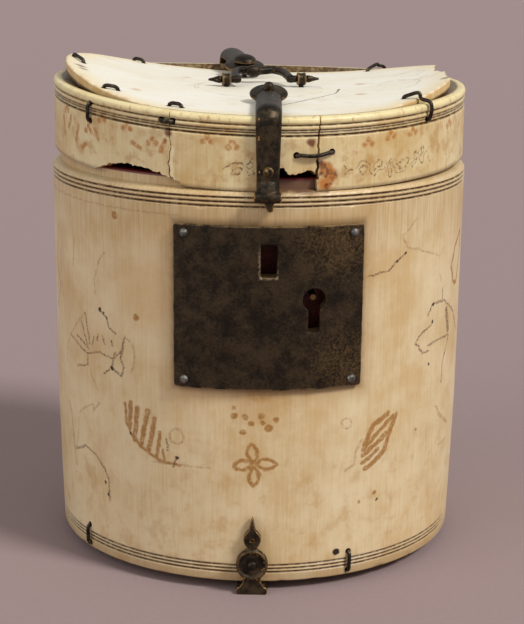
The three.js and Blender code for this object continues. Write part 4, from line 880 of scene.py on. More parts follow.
# The disc's marks, in millimetres over its middle
CRACK_STAIN = ((5.7, -33), (13, -22), (19.8, -11.3), (21.1, -3.2))
DISC_BURNS = (((-46.5, -9), 0.8), ((-45.5, -12.5), 0.5), ((48, -12), 0.6))
DISC_SPOTS = ((27, 4, 0.8), (26, -15.5, 0.8), (-31, -24, 0.6), (12, 20, 0.5), (-20, 14, 0.6))
SCRIBED_CENTRE = (-0.3, -3.5, 0.0)
SCRIBED_RADII = (16.1, 17.0)
# Faint broken scratches of a lost drawing on the right half
DISC_SCRATCHES = (
    (0.35, (31, -4), (34, 1.5), (39, 0), (42.5, -4), (41, -9)),
    (0.35, (26, 6), (31.7, 1), (36.5, 4), (41, -3), (45, 2)),
    (0.35, (33, 18), (37, 12), (42, 17), (48, 21)),
    (0.35, (38, 8), (42, 6.5), (45, 10), (43, 13.5)),
    (0.35, (30, -12), (36, -14), (41, -11)),
)


def look_of_disc():
    look = Look("ivory_disc")
    point = look.millimetres()
    level = look.level("level")
    grain_place = look.scaled(point, (0.35, 1.0, 0.0))
    base, streaks = ivory_grain(look, grain_place, colour(246, 241, 228), colour(238, 228, 202))
    x, y, _ = look.parts(point)
    flat = look.join(x, y)
    out = look.vector("LENGTH", flat)

    # Deeper tones towards the edge, on the side and underneath, and painted shade with dirt along the lower
    # edge where the disc sits in the ring
    dirt = look.noise(point, 0.35, detail=5.0, roughness=0.65)
    base = look.mix(look.smooth(out, 43.0, 50.5, 0.0, 0.6), base, colour(238, 216, 164))
    edge = look.times(look.smooth(out, 49.6, 51.4), look.smooth(dirt, 0.35, 0.62))
    base = look.tint(base, edge, 0.7, colour(190, 142, 80))
    side = look.times(look.smooth(level, -0.15, -0.6), look.smooth(dirt, 0.3, 0.6, 0.75, 1.0))
    base = look.tint(base, side, 0.85, colour(206, 168, 104))
    under = look.mix(look.smooth(dirt, 0.35, 0.65), colour(206, 178, 132), colour(168, 132, 84))
    # Painted shade with dirt: a dark band round the underside's edge and the lower rounded edge
    under = look.mix(look.smooth(out, 48.5, 49.6), under, colour(78, 50, 26))
    base = look.mix(look.smooth(level, -1.7, -2.4), base, under)

    # Stains, scribed circles, the crack's dirt, scratches and burns, all on the top only
    stain = specks(look, point, 0.12, 0.55, 0.75)
    base = look.tint(base, stain, 0.35, colour(214, 184, 134))
    spots = [
        look.math("SUBTRACT", look.vector("DISTANCE", flat, (px, py, 0.0)), radius)
        for px, py, radius in DISC_SPOTS
    ]
    soft = look.smooth(look.least(spots), 1.6, -0.6)
    top = look.smooth(level, -0.8, -0.3)
    base = look.tint(base, look.times(soft, top), 0.6, colour(196, 138, 66))
    centre_out = look.vector("DISTANCE", flat, SCRIBED_CENTRE)
    circles = [look.apart(centre_out, radius) for radius in SCRIBED_RADII]
    scribed = look.smooth(look.least(circles), 0.28, 0.05)
    worn_off = look.smooth(look.noise(point, 0.25, detail=3.0), 0.4, 0.6)
    scribed = look.times(look.times(scribed, worn_off), top)
    base = look.tint(base, scribed, 0.6, colour(170, 128, 76))
    painting = Painting(look, flat, spread=1.0)
    crack = look.smooth(look.least(painting.line(CRACK_STAIN, 0.3)), 0.25, -0.1)
    base = look.tint(base, look.times(crack, top), 0.85, colour(104, 92, 88))
    scratches = painting.ink(painting.lines(DISC_SCRATCHES), softness=0.3, fade=(0.46, 0.6), grain=1.4)
    base = look.tint(base, look.times(scratches, top), 0.75, colour(140, 104, 70))
    burnt = look.smooth(look.least(painting.dots(DISC_BURNS)), 1.4, -0.4)
    base = look.tint(base, look.times(burnt, top), 0.8, colour(96, 62, 36))
    rough_share = look.math("MULTIPLY_ADD", streaks, 0.2, 0.34)
    return look.finish(base, rough_share, streaks, depth=0.0001, strength=0.4)


def look_of_fracture():
    look = Look("ivory_fracture")
    point = look.millimetres()
    patches = look.noise(point, 0.5, detail=5.0, roughness=0.65)
    base = look.mix(look.smooth(patches, 0.35, 0.65), colour(176, 138, 92), colour(110, 64, 36))
    return look.finish(base, 0.7, look.noise(point, 3.0, detail=4.0), depth=0.0003, strength=0.8)


def look_of_plain_ivory():
    look = Look("ivory_plain")
    grain_place = look.scaled(look.millimetres(), (1.0, 0.2, 1.0))
    base, streaks = ivory_grain(look, grain_place, colour(206, 178, 132), colour(160, 126, 80))
    rough_share = look.math("MULTIPLY_ADD", streaks, 0.2, 0.4)
    return look.finish(base, rough_share, streaks, depth=0.0001, strength=0.4)


def look_of_leather():
    look = Look("red_leather")
    point = look.millimetres()
    grain = look.named("ShaderNodeTexVoronoi", {"Vector": point, "Scale": 1.4}, feature="DISTANCE_TO_EDGE")
    creases = look.smooth(grain.outputs["Distance"], 0.0, 0.12)
    wear = look.noise(point, 0.09, detail=5.0, roughness=0.6)
    base = look.mix(look.smooth(wear, 0.35, 0.7), colour(58, 14, 14), colour(96, 34, 28))
    base = look.mix(look.math("SUBTRACT", 1.0, creases), base, colour(38, 10, 10))
    return look.finish(base, look.math("MULTIPLY_ADD", wear, 0.25, 0.6), creases, depth=0.0001, strength=0.7)


def look_of_metal(name, dark, mid, bright, wear_from, scale=0.35, roughness=0.42, metallic=0.75):
    """Old metal: dark patina in patches, brighter on convex edges as rubbing and painted highlight, and fine
    scratches.
    """
    look = Look(name)
    point = look.millimetres()
    patches = look.noise(point, scale, detail=6.0, roughness=0.65)
    fine = look.noise(point, scale * 6, detail=4.0, roughness=0.6)
    base = look.mix(look.smooth(patches, 0.38, 0.66), dark, mid)
    convex = look.node("ShaderNodeNewGeometry").outputs["Pointiness"]
    # Convex edges drawn bright: rubbing, and a painted highlight where edges catch the light
    rubbed_and_highlit = look.smooth(look.math("MULTIPLY_ADD", fine, 0.06, convex), wear_from, wear_from + 0.06)
    brushed = look.scaled(point, (0.35, 0.35, 4.0))
    streaks = look.noise(brushed, 1.3, detail=5.0, roughness=0.75, distortion=0.6)
    scratches = look.times(look.smooth(streaks, 0.62, 0.72), 0.5)
    base = look.mix(look.math("MAXIMUM", rubbed_and_highlit, scratches), base, bright)
    rough_share = look.math("MULTIPLY_ADD", fine, 0.3, roughness - 0.12)
    height = look.math("MULTIPLY_ADD", patches, 0.7, fine)
    return look.finish(base, rough_share, height, depth=0.0002, strength=0.45, metallic=metallic)


def look_of_plate():
    look = Look("plate_metal")
    point = look.millimetres()
    x, _, z = look.parts(point)
    patches = look.noise(point, 0.22, detail=6.0, roughness=0.65)
    fine = look.noise(point, 1.6, detail=5.0, roughness=0.65)
    tone = look.math("MULTIPLY_ADD", fine, 0.35, look.times(patches, 0.65))
    base = look.mix(look.smooth(tone, 0.38, 0.64), colour(34, 27, 19), colour(74, 60, 42))

    # Two golden clouds at the right
    upper = look.vector("DISTANCE", look.join(x, z), (20.0, 92.0, 0.0))
    lower = look.vector("DISTANCE", look.join(x, z), (22.0, 60.0, 0.0))
    upper = look.smooth(upper, 15.0, 2.0)
    gold = look.math("MAXIMUM", upper, look.times(look.smooth(lower, 13.0, 2.0), 0.8))
    gold = look.times(gold, look.smooth(fine, 0.38, 0.7))
    base = look.tint(base, gold, 0.5, colour(140, 110, 64))

    # The slot's left and bottom edges drawn pale as painted highlight with rubbing, the plate's edges drawn
    # paler as rubbing with painted highlight, and upright scratches
    slot_x = (SLOT_LEFT + SLOT_RIGHT) / 2 + LOCK_ANGLE * ARC
    slot_z = (SLOT_BOTTOM + SLOT_TOP) / 2
    beside = look.beyond(x, slot_x, (SLOT_RIGHT - SLOT_LEFT) / 2)
    above = look.beyond(z, slot_z, SLOT_TOP - slot_z)
    # Painted highlight with rubbing on the slot's left and bottom edges, the sides that face the lamp
    rubbed_and_highlit = look.smooth(look.math("MAXIMUM", beside, above), 0.7, 0.2)
    rubbed_and_highlit = look.times(rubbed_and_highlit, look.smooth(look.math("ADD", x, z), SLOT_TOP + 2, SLOT_BOTTOM + 4))
    base = look.mix(look.times(rubbed_and_highlit, look.smooth(fine, 0.4, 0.55)), base, colour(150, 132, 104))
    # The plate's edges drawn paler: rubbing, and a painted highlight along them
    rim = look.times(look.smooth(look.level("edge"), 0.5, 0.05), look.smooth(patches, 0.42, 0.58))
    base = look.tint(base, rim, 0.7, colour(168, 140, 98))
    streaks = look.noise(look.scaled(point, (1.0, 1.0, 0.2)), 1.4, detail=6.0, roughness=0.8, distortion=1.2)
    base = look.tint(base, look.smooth(streaks, 0.66, 0.74), 0.35, colour(140, 116, 78))
    rough_share = look.math("MULTIPLY_ADD", fine, 0.3, 0.32)
    height = look.math("MULTIPLY_ADD", patches, 1.6, look.times(fine, 0.5))
    return look.finish(base, rough_share, height, depth=0.0003, strength=0.5, metallic=0.7)


WALL_LOOK = look_of_wall()
RING_LOOK = look_of_ring()
DISC_LOOK = look_of_disc()
FRACTURE_LOOK = look_of_fracture()
PLAIN_IVORY = look_of_plain_ivory()
LEATHER = look_of_leather()
PLATE_LOOK = look_of_plate()
BRONZE = look_of_metal("bronze", colour(34, 29, 21), colour(78, 64, 46), colour(190, 148, 86), 0.54)
DARK_BRONZE = look_of_metal(
    "dark_bronze", colour(32, 26, 20), colour(66, 53, 38), colour(136, 108, 66), 0.56)
IRON_WIRE = look_of_metal(
    "iron_wire", colour(30, 26, 22), colour(66, 56, 46), colour(140, 124, 100), 0.57, 0.8, 0.3)
RIVET_METAL = look_of_metal(
    "rivet_metal", colour(84, 82, 78), colour(128, 124, 118), colour(186, 182, 174), 0.6, scale=0.9)
LOCK_DARK = look_of_metal(
    "lock_dark", colour(104, 38, 30), colour(136, 54, 42), colour(120, 70, 50), 0.6, metallic=0.1)
LOCK_IRON = look_of_metal(
    "lock_iron", colour(44, 38, 34), colour(86, 70, 56), colour(130, 118, 104), 0.6, 0.5, 0.55)


# The turned wall
def dips(z, centres, depth=GROOVE_DEPTH, spread=GROOVE_SPREAD):
    return sum(depth * bell(z - c, spread) for c in centres)


def rounded_corner(start, corner, end, steps=5):
    """Points of a curve from start to end, drawn towards a corner."""
    start, corner, end = (np.array(p, float) for p in (start, corner, end))
    shares = np.linspace(0, 1, steps)
    return [tuple((1 - t) ** 2 * start + 2 * t * (1 - t) * corner + t**2 * end) for t in shares]


def wall_profile():
    low = np.arange(WALL_BOTTOM + 0.6, 8.4, 0.11)
    plain = np.arange(8.4, MOULDING_BOTTOM - 0.6, 2.0)
    high = np.arange(MOULDING_BOTTOM - 0.5, MOULDING_TOP, 0.1)
    step = np.clip((high - MOULDING_BOTTOM + 0.1) / 0.4, 0, 1)
    moulding = WALL_RADIUS_TOP + (MOULDING_RADIUS - WALL_RADIUS_TOP) * step * step * (3 - 2 * step)
    foot = (WALL_RADIUS_BOTTOM, WALL_BOTTOM)
    points = rounded_corner((BASE_RADIUS + 1.2, WALL_BOTTOM), foot, (WALL_RADIUS_BOTTOM, WALL_BOTTOM + 0.6))
    points += list(zip(wall_radius(low) - dips(low, BASE_GROOVES), low))
    points += list(zip(wall_radius(plain), plain))
    points += list(zip(moulding - dips(high, MOULDING_GROOVES, GROOVE_DEPTH * 1.15), high))
    moulding_end = (MOULDING_RADIUS - 0.1, MOULDING_TOP)
    shoulder = (MOULDING_RADIUS - 0.3, SHOULDER_TOP - 0.4)
    points += rounded_corner(moulding_end, shoulder, (NECK_RADIUS, SHOULDER_TOP), 10)
    neck, inner = (NECK_RADIUS, NECK_TOP), (WALL_INNER_RADIUS, NECK_TOP)
    points += rounded_corner((NECK_RADIUS, NECK_TOP - 0.6), neck, (NECK_RADIUS - 0.6, NECK_TOP))
    points += rounded_corner((WALL_INNER_RADIUS + 0.4, NECK_TOP), inner, (WALL_INNER_RADIUS, NECK_TOP - 0.4))
    rebate_radius = BASE_RADIUS + GAP
    points += [(WALL_INNER_RADIUS, FLOOR_TOP), (rebate_radius, FLOOR_TOP), (rebate_radius, WALL_BOTTOM)]
    return points


def worn(points):
    """Turned ivory that is a little out of true, with nicks along the moulding and the lower edge."""
    flat, out = shared(points)
    z = flat[:, 2]
    unit = flat[:, :2] / np.maximum(out, 1e-6)[:, None]
    outer = out > WALL_INNER_RADIUS + 2.5
    soft = rough(flat, 0.05, 3.0)
    sharp = rough(flat, 0.55, 9.0)
    edge = bell(z - MOULDING_TOP, 0.7) + bell(z - WALL_BOTTOM, 0.9)
    edge += 0.8 * bell(z - MOULDING_BOTTOM - 0.3, 0.4)
    inwards = 0.1 * (0.5 + 0.5 * soft) + edge * np.clip(sharp - 0.32, 0, 1) * 1.6
    flat[:, :2] -= unit * (inwards * outer)[:, None]
    return flat.reshape(points.shape)


def lock_prism(name, outline, low, high):
    """A cutter along the lock's outward direction, from an outline of (x, z)."""
    return moved(extruded(name, outline, low, high), turned(LOCK_ANGLE) @ UPRIGHT)


def slot_outline(room):
    return rectangle(SLOT_LEFT - room, SLOT_RIGHT + room, SLOT_BOTTOM - room, SLOT_TOP + room)


def keyhole_outline(room):
    half, radius = KEYHOLE_HALF_WIDTH + room, KEYHOLE_RADIUS + room
    start = math.asin(half / radius)
    points = [(KEYHOLE_X - half, KEYHOLE_BOTTOM - room), (KEYHOLE_X + half, KEYHOLE_BOTTOM - room)]
    for t in np.linspace(-math.pi / 2 + start, 1.5 * math.pi - start, 28):
        points.append((KEYHOLE_X + radius * math.cos(t), KEYHOLE_Z + radius * math.sin(t)))
    return points


def wall_openings(inner, outer=62):
    """Cutters for the slot and the keyhole, between two distances from the middle line."""
    return [
        lock_prism("slot_cutter", slot_outline(SLOT_ROOM), inner, outer),
        lock_prism("keyhole_cutter", keyhole_outline(KEYHOLE_ROOM), inner, outer),
    ]


# Wires: a list of points for the middle line, and the places where its legs enter
def leg_points(entry, into, along, length):
    turn = WIRE_BEND * math.sqrt(0.5)
    places = ((length, 0), (BEND_START, 0), (BEND_START - turn, WIRE_BEND - turn), (-WIRE_LIFT, WIRE_BEND))
    return [entry + into * inwards + along * sideways for inwards, sideways in places]


def staple(a, b, into, length, bulge=0.0, sag=0.0):
    along = (b - a).normalized()
    crown = a.lerp(b, 0.5) - into * (WIRE_LIFT + bulge) - Vector((0, 0, sag))
    first = leg_points(a, into, along, length)
    last = leg_points(b, into, -along, length)[::-1]
    return dict(points=[*first, crown, *last], legs=[(a, into), (b, into)])


def inward(angle):
    return at(angle + 180, 1, 0)


def ring_point(angle, z):
    return at(angle, RING_RADIUS, z)


def disc_point(angle, inset):
    p = at(angle, DISC_RADIUS - inset, 0)
    p.z = float(disc_top(p.x, p.y))
    return p


def ring_staple(start, end, face_angle, bulge=0.0, sag=0.0):
    """A wire on the ring's face, between places given as (angle, height over the ring's top)."""
    a, b = (ring_point(angle, RING_TOP + over) for angle, over in (start, end))
    return staple(a, b, inward(face_angle), RING_LEG, bulge, sag)


def base_staple(angle):
    a, b = (at(angle, float(wall_radius(z)), z) for z in (BASE_STAPLE_LOW, BASE_STAPLE_HIGH))
    return staple(a, b, inward(angle), BASE_STAPLE_LEG)


def rim_wire(angle, drop):
    """A wire from a hole in the disc, over the rim and down into the ring."""
    start, top = disc_point(angle, RIM_WIRE_INSET), rim_top(angle)
    entry, edge = ring_point(angle, RING_TOP - drop), disc_point(angle, 0)
    edge.z = max(edge.z, top) + 1.3
    bend = ((RING_RADIUS - 2.2, top + 1.1), (RING_RADIUS + 0.4, top + 0.5), (RING_RADIUS + 1.05, top - 1.2))
    first = leg_points(start, DOWN, at(angle, 1, 0), DISC_LEG)
    last = leg_points(entry, inward(angle), -DOWN, RING_LEG)[::-1]
    over = [edge, *(at(angle, out, z) for out, z in bend)]
    return dict(points=[*first, *over, *last], legs=[(start, DOWN), (entry, inward(angle))])


DOWN = Vector((0, 0, -1))
RING_WIRES = dict(
    ring_staple_left=ring_staple((-50, 0.4), (-50, -3.8), -50),
    ring_crack_staple=ring_staple((9.6, -9.05), (18.8, -8.45), 14.1, bulge=0.5, sag=0.4),
    ring_crack_tie=ring_staple((-25.4, -1.6), (-22.2, -1.7), -23.8, bulge=0.2),
)
RIM_WIRES = dict(rim_wire_right=rim_wire(50, 2.7), rim_wire_back=rim_wire(139, 3.35))
# The disc's mends, between places given as (angle, distance in from the disc's edge)
DISC_STAPLES = dict(
    disc_staple_left=((-50.5, 1.4), (-48.6, 4.6)),
    disc_staple_end=((-92, 1.6), (-86.3, 4.7)),
    disc_staple_front=((-27.5, 4.2), (-23.5, 4.6)),
    disc_staple_back=((-133.5, 1.4), (-135, 4.2)),
)
DISC_WIRES = {
    name: staple(disc_point(*start), disc_point(*end), DOWN, DISC_LEG)
    for name, (start, end) in DISC_STAPLES.items()
}
BASE_WIRES = {f"base_staple_{i + 1}": base_staple(angle) for i, angle in enumerate(BASE_STAPLE_ANGLES)}


def leg_pits(wires, only=None):
    """Small worn holes where the wires' legs enter the ivory."""
    pits = []
    for wire in wires:
        for k, (entry, into) in enumerate(wire["legs"]):
            if only is None or k == only:
                path = [entry - into * 1.2, entry + into * 1.0, entry + into * 4.9]
                pits.append(sweep("pit", path, circle(WIRE_RADIUS + 0.33, 14)))
    return pits


wall = lathe("body_wall_turned", wall_profile(), shape=worn)
combine(wall, [*wall_openings(45), *leg_pits(BASE_WIRES.values())], "DIFFERENCE")
place(wall, "box", "ivory", [WALL_LOOK], ["body_wall"])


def base_profile():
    """The base disc, with two fine lines turned into its underside."""
    bottom, top = WALL_BOTTOM + BASE_RECESS, WALL_BOTTOM + BASE_THICKNESS
    points = [(0, bottom)]
    for radius in BASE_LINES:
        points += [(radius, bottom), (radius + 0.3, bottom + 0.25), (radius + 0.6, bottom)]
    points += rounded_corner((BASE_RADIUS - 0.4, bottom), (BASE_RADIUS, bottom), (BASE_RADIUS, bottom + 0.4))
    return [*points, (BASE_RADIUS, top), (0, top)]


place(lathe("base_disc_turned", base_profile(), 240), "box", "ivory", [PLAIN_IVORY], ["base_disc"])

lining_inner = LINING_RADIUS - LINING_THICKNESS
lining_profile = [(LINING_RADIUS, z) for z in np.linspace(FLOOR_TOP, LINING_TOP - 0.3, 24)]
lining_start, lining_end = (LINING_RADIUS, LINING_TOP - 0.3), (lining_inner, LINING_TOP - 0.3)
lining_profile += rounded_corner(lining_start, (LINING_RADIUS - 0.4, LINING_TOP + 0.1), lining_end)
lining_profile += [(lining_inner, z) for z in np.linspace(LINING_TOP - 0.6, FLOOR_TOP, 24)]


def crinkled(points):
    flat, out = shared(points)
    ripple = 0.16 * rough(flat * (1, 1, 0.35), 0.14, 5.0) * (out < LINING_RADIUS - 0.3)
    flat[:, :2] *= (1 + (ripple - 0.02) / np.maximum(out, 1))[:, None]
    return flat.reshape(points.shape)


lining = lathe("wall_lining_leather", lining_profile, 240, crinkled)
combine(lining, wall_openings(40), "DIFFERENCE")
place(lining, "box", "lining", [LEATHER], ["wall_lining"])

pad_radius, pad_top = lining_inner - 1.6, FLOOR_TOP + LINING_THICKNESS
pad_profile = [(0, FLOOR_TOP), (pad_radius - 0.3, FLOOR_TOP)]
pad_edge = (pad_radius, pad_top)
pad_profile += rounded_corner((pad_radius, FLOOR_TOP + 0.1), pad_edge, (pad_radius - 0.6, pad_top))
pad_profile += [(r, pad_top) for r in np.arange(pad_radius - 2, 1, -2.0)] + [(0, pad_top)]


def dimpled(points):
    flat, _ = shared(points)
    upper = flat[:, 2] > pad_top - 0.1
    flat[:, 2] -= (0.12 + 0.12 * rough(flat, 0.12, 2.0)) * upper
    return flat.reshape(points.shape)


place(lathe("base_lining_leather", pad_profile, 160, dimpled), "box", "lining", [LEATHER], ["base_lining"])

# The lid's ring and disc
LEFT_BREAK = (
    (-48.5, -1.6), (-48, 2.7), (-43.4, 3.8), (-39.5, 4.7), (-36.8, 5.0), (-31.9, 4.7),
    (-27.3, 3.8), (-24.1, 3.1), (-22.4, 2.8), (-20.2, 1.6), (-18.8, -1.6),
)
RIGHT_BREAK = (
    (3.6, -1.6), (3.8, 5.5), (6.2, 6.0), (7.5, 4.4), (9.6, 4.2), (11.3, 4.7), (13.4, 5.3),
    (14.7, 3.9), (15.1, -1.6),
)
BROKEN_END = ((2.1, -20), (3.5, -12), (3.1, -3), (5.1, 6), (4.1, 13), (3.3, 22), (-10, 24), (-10, -22))
LEFT_CRACK = ((-22.6, 103.5), (-23.2, 108), (-22.7, 112), (-23.1, 116), (-22.9, 121.5))
RIGHT_CRACK = ((14.8, 105), (15.0, 108), (15.2, 111), (15.3, 115.4), (16.0, 121.5))
DISC_CRACK = ((5.7, -32.9), (10.5, -25), (14, -19.5), (19.8, -11.3), (21.1, -3.2))
CRACK_INNER = RING_INNER_RADIUS + 2


def ring_profile():
    foot_start = (NECK_RADIUS + GAP, RING_BOTTOM + 1.15)
    face = np.concatenate([np.arange(102.8, 114.6, 0.7), np.arange(114.8, 118.45, 0.1)])
    face_radius = RING_RADIUS - dips(face, RING_GROOVES[:1], 0.55, 0.28) - dips(face, RING_GROOVES[1:])
    foot_corner = (RING_RADIUS, RING_BOTTOM - 0.3)
    points = rounded_corner(foot_start, foot_corner, (RING_RADIUS, RING_BOTTOM + 0.35), 7)
    points += [*zip(face_radius, face), (RIM_RADIUS - 0.04, 118.55), (RIM_RADIUS, 118.7)]
    rim_corner = (RIM_RADIUS - 0.05, RING_TOP)
    points += rounded_corner((RIM_RADIUS, 118.8), rim_corner, (RIM_RADIUS - 1.4, RING_TOP), 9)
    return points + [(r, RING_TOP) for r in (52.6, 52.1, 51.8)]


def ring_shape(points):
    """Warps the turned ring and sinks its rebate under the bowed disc."""
    flat, out = shared(points)
    x, y, z = flat.T
    flat[:, 2] = ring_z(x, y, z)
    sunk = (z > RING_TOP) & (out < DISC_RADIUS + GAP + 0.1)
    floor = disc_top(x, y) - DISC_THICKNESS - GAP
    flat[sunk, 2] = np.minimum(ring_z(x, y, RING_TOP), floor)[sunk]
    outer = out > RING_RADIUS - 1.5
    nicks = np.clip(rough(flat, 0.5, 21.0) - 0.3, 0, 1) * bell(z - RING_TOP, 1.2)
    flat[:, 2] -= nicks * 0.9 * outer
    flat[:, :2] *= (1 - 0.05 * (1 + rough(flat, 0.06, 4.0)) / np.maximum(out, 1) * outer)[:, None]
    return flat.reshape(points.shape)


def jagged(places, spacing, roughness, seed):
    """An outline in given points, broken up into a rough edge."""
    closed = [*places, places[0]]
    points = []
    for (x0, y0), (x1, y1) in zip(closed, closed[1:]):
        count = max(1, int(math.hypot(x1 - x0, y1 - y0) / spacing))
        for k in range(count):
            x, y = x0 + (x1 - x0) * k / count, y0 + (y1 - y0) * k / count
            shift = noise.noise(Vector((x, y, seed)) * 0.9) + 0.5 * noise.noise(Vector((x, y, seed)) * 2.3)
            points.append((x + roughness * 0.6 * shift, y + roughness * shift))
    return points


def break_cutter(places, seed):
    """A rough-walled cutter through the ring, from an outline of (angle, height over the ring's edge)."""
    outline = jagged(places, 0.45, 0.45, seed)
    vertices = []
    for out in np.linspace(45.5, 58, 22):
        for angle, over in outline:
            grain = noise.noise(Vector((angle * 0.6, over, out * 1.1 + seed)))
            taper = (RING_RADIUS - out) * 0.1 if over > 0 else 0
            vertices.append(at(angle, out, RING_BOTTOM + over + 0.35 * grain - taper))
    return skinned("break_cutter", vertices, len(outline))


def crack_cutter(places, widths, seed):
    """A thin wavering blade that opens a crack in the ring, with its width at its foot and at its top."""
    path = path_through([(a, z, 0) for a, z in places], 0.5)
    outer = RING_RADIUS + 3
    vertices = []
    for i, (angle, z, _) in enumerate(path):
        wander = 0.4 * noise.noise(Vector((z * 0.8, seed, 0)))
        wander += 0.2 * noise.noise(Vector((z * 2.7, seed, 4)))
        width = np.interp(i / (len(path) - 1), (0, 1), widths)
        half = width / 2 / ARC * (0.85 + 0.4 * noise.noise(Vector((z * 0.7, seed, 8))))
        for out, share in ((CRACK_INNER, 0.25), (outer, 1), (outer, -1), (CRACK_INNER, -0.25)):
            vertices.append(at(angle + wander + half * share, out, z))
    return skinned("crack_cutter", vertices, 4)


def paint_fracture(piece, is_broken):
    """Gives the second material to the faces that a break laid bare."""
    for face in piece.data.polygons:
        if is_broken(Vector(face.center) / MM, face.normal):
            face.material_index = 1


def ring_broken(centre, normal):
    out = math.hypot(centre.x, centre.y)
    angle = math.degrees(math.atan2(centre.x, -centre.y))
    radial = abs(normal.x * centre.x + normal.y * centre.y) / max(out, 1)
    inside = any(low < angle < high for low, high in ((-50, -17), (2, 17)))
    low_enough = RING_BOTTOM + 1 < centre.z < RING_BOTTOM + 7
    return inside and radial < 0.75 and low_enough and out > NECK_RADIUS - 1


def rebate():
    """The ring's inner side, with the step that the disc lies in."""
    skirt_top = NECK_TOP + 0.6
    return [
        (DISC_RADIUS + GAP, RING_TOP + 0.02),
        (DISC_RADIUS + GAP, RING_TOP + 0.04),
        (RING_INNER_RADIUS, RING_TOP + 0.04),
        (RING_INNER_RADIUS, skirt_top),
        (NECK_RADIUS + GAP, skirt_top),
    ]


ring = lathe("lid_ring_turned", [*ring_profile(), *rebate()], shape=ring_shape)
ring_cutters = [
    break_cutter(LEFT_BREAK, 1.0), break_cutter(RIGHT_BREAK, 7.0),
    crack_cutter(LEFT_CRACK, (0.5, 0.4), 2.0), crack_cutter(RIGHT_CRACK, (1.4, 0.5), 5.0),
    *leg_pits(RING_WIRES.values()), *leg_pits(RIM_WIRES.values(), 1),
]
combine(ring, ring_cutters, "DIFFERENCE")
corners = vertex_array(ring)
attribute(ring, "level", ring_level(corners[:, 0], corners[:, 1], corners[:, 2]))
place(ring, "lid", "ivory", [RING_LOOK, FRACTURE_LOOK], ["lid_ring"])
paint_fracture(ring, ring_broken)


def disc_profile():
    points = [(r, 0.0) for r in np.linspace(0, DISC_RADIUS - 0.9, 72)]
    points += rounded_corner((DISC_RADIUS - 0.7, 0), (DISC_RADIUS, 0), (DISC_RADIUS, -0.7), 7)
    lower = (DISC_RADIUS, -DISC_THICKNESS)
    points += rounded_corner((DISC_RADIUS, -2.6), lower, (DISC_RADIUS - 0.4, -DISC_THICKNESS), 5)
    return points + [(r, -DISC_THICKNESS) for r in np.linspace(DISC_RADIUS - 2, 0, 24)]


def disc_shape(points):
    flat = points.reshape(-1, 3)
    x, y, z = flat.T.copy()
    wave = 0.1 * rough(flat * (1, 1, 0), 0.06, 6.0) - 0.1
    flat[:, 2] = disc_top(x, y) + z + wave * (z > -1.5)
    return flat.reshape(points.shape)


def end_cutter():
    """A rough-walled cutter for the disc's broken end."""
    outline = jagged([(DISC_RADIUS - inset, y) for inset, y in BROKEN_END], 0.5, 0.8, 3.0)
    vertices = []
    for z in np.linspace(112, 134, 30):
        for x, y in outline:
            grain = 0.45 * noise.noise(Vector((x * 0.9, y * 0.9, z * 1.3)))
            slope = 0.25 * (z - 122) if x < DISC_RADIUS else 0
            vertices.append((x + grain + slope, y, z))
    return skinned("end_cutter", vertices, len(outline))


def disc_crack_cutter():
    path = path_through([(x, y, 0) for x, y in DISC_CRACK], 0.6)
    section = [(-0.14, 3), (0.14, 3), (0.05, -1.3), (-0.05, -1.3)]
    points = []
    for x, y, _ in path:
        shake = 0.3 * noise.noise(Vector((x, y, 0)) * 0.9)
        points.append((x + shake, y - shake * 0.4, float(disc_top(x, y))))
    return sweep("disc_crack", points, section, side=Vector((1, -0.6, 0)).normalized())


def disc_broken(centre, normal):
    inside = centre.x > DISC_RADIUS - 7 and abs(centre.y) < 24
    return inside and normal.x > 0.5 and math.hypot(centre.x, centre.y) < DISC_RADIUS - 0.3


disc = lathe("lid_disc_bowed", disc_profile(), 360, disc_shape)
disc_cutters = [end_cutter(), disc_crack_cutter()]
disc_cutters += [*leg_pits(DISC_WIRES.values()), *leg_pits(RIM_WIRES.values(), 0)]
combine(disc, disc_cutters, "DIFFERENCE")
corners = vertex_array(disc)
attribute(disc, "level", corners[:, 2] - disc_top(corners[:, 0], corners[:, 1]))
place(disc, "lid", "lid_ivory", [DISC_LOOK, FRACTURE_LOOK], ["lid_disc"])
paint_fracture(disc, disc_broken)

# Wires
for name, wire in {**RING_WIRES, **RIM_WIRES, **DISC_WIRES, **BASE_WIRES}.items():
    path = path_through(wire["points"], 0.3)
    shake = np.stack([rough(path, 0.7, s) for s in (1.0, 5.0, 9.0)], axis=1) * 0.05
    strand = sweep(f"{name}_strand", path + shake, circle(WIRE_RADIUS * 0.96, 14))
    place(strand, "box" if name in BASE_WIRES else "lid", "iron_wire", [IRON_WIRE], [name])


# The lock plate: cut flat, rounded off, then bent round the wall
def bent(flat_points):
    """Bends points of (along the arc, height, out from the wall's face) round the wall."""
    along, z, out = flat_points.T
    radius = wall_radius(z) + GAP + out
    angle = LOCK_ANGLE * DEGREE + along / MOULDING_RADIUS
    return np.stack([radius * np.sin(angle), -radius * np.cos(angle), z], axis=1)


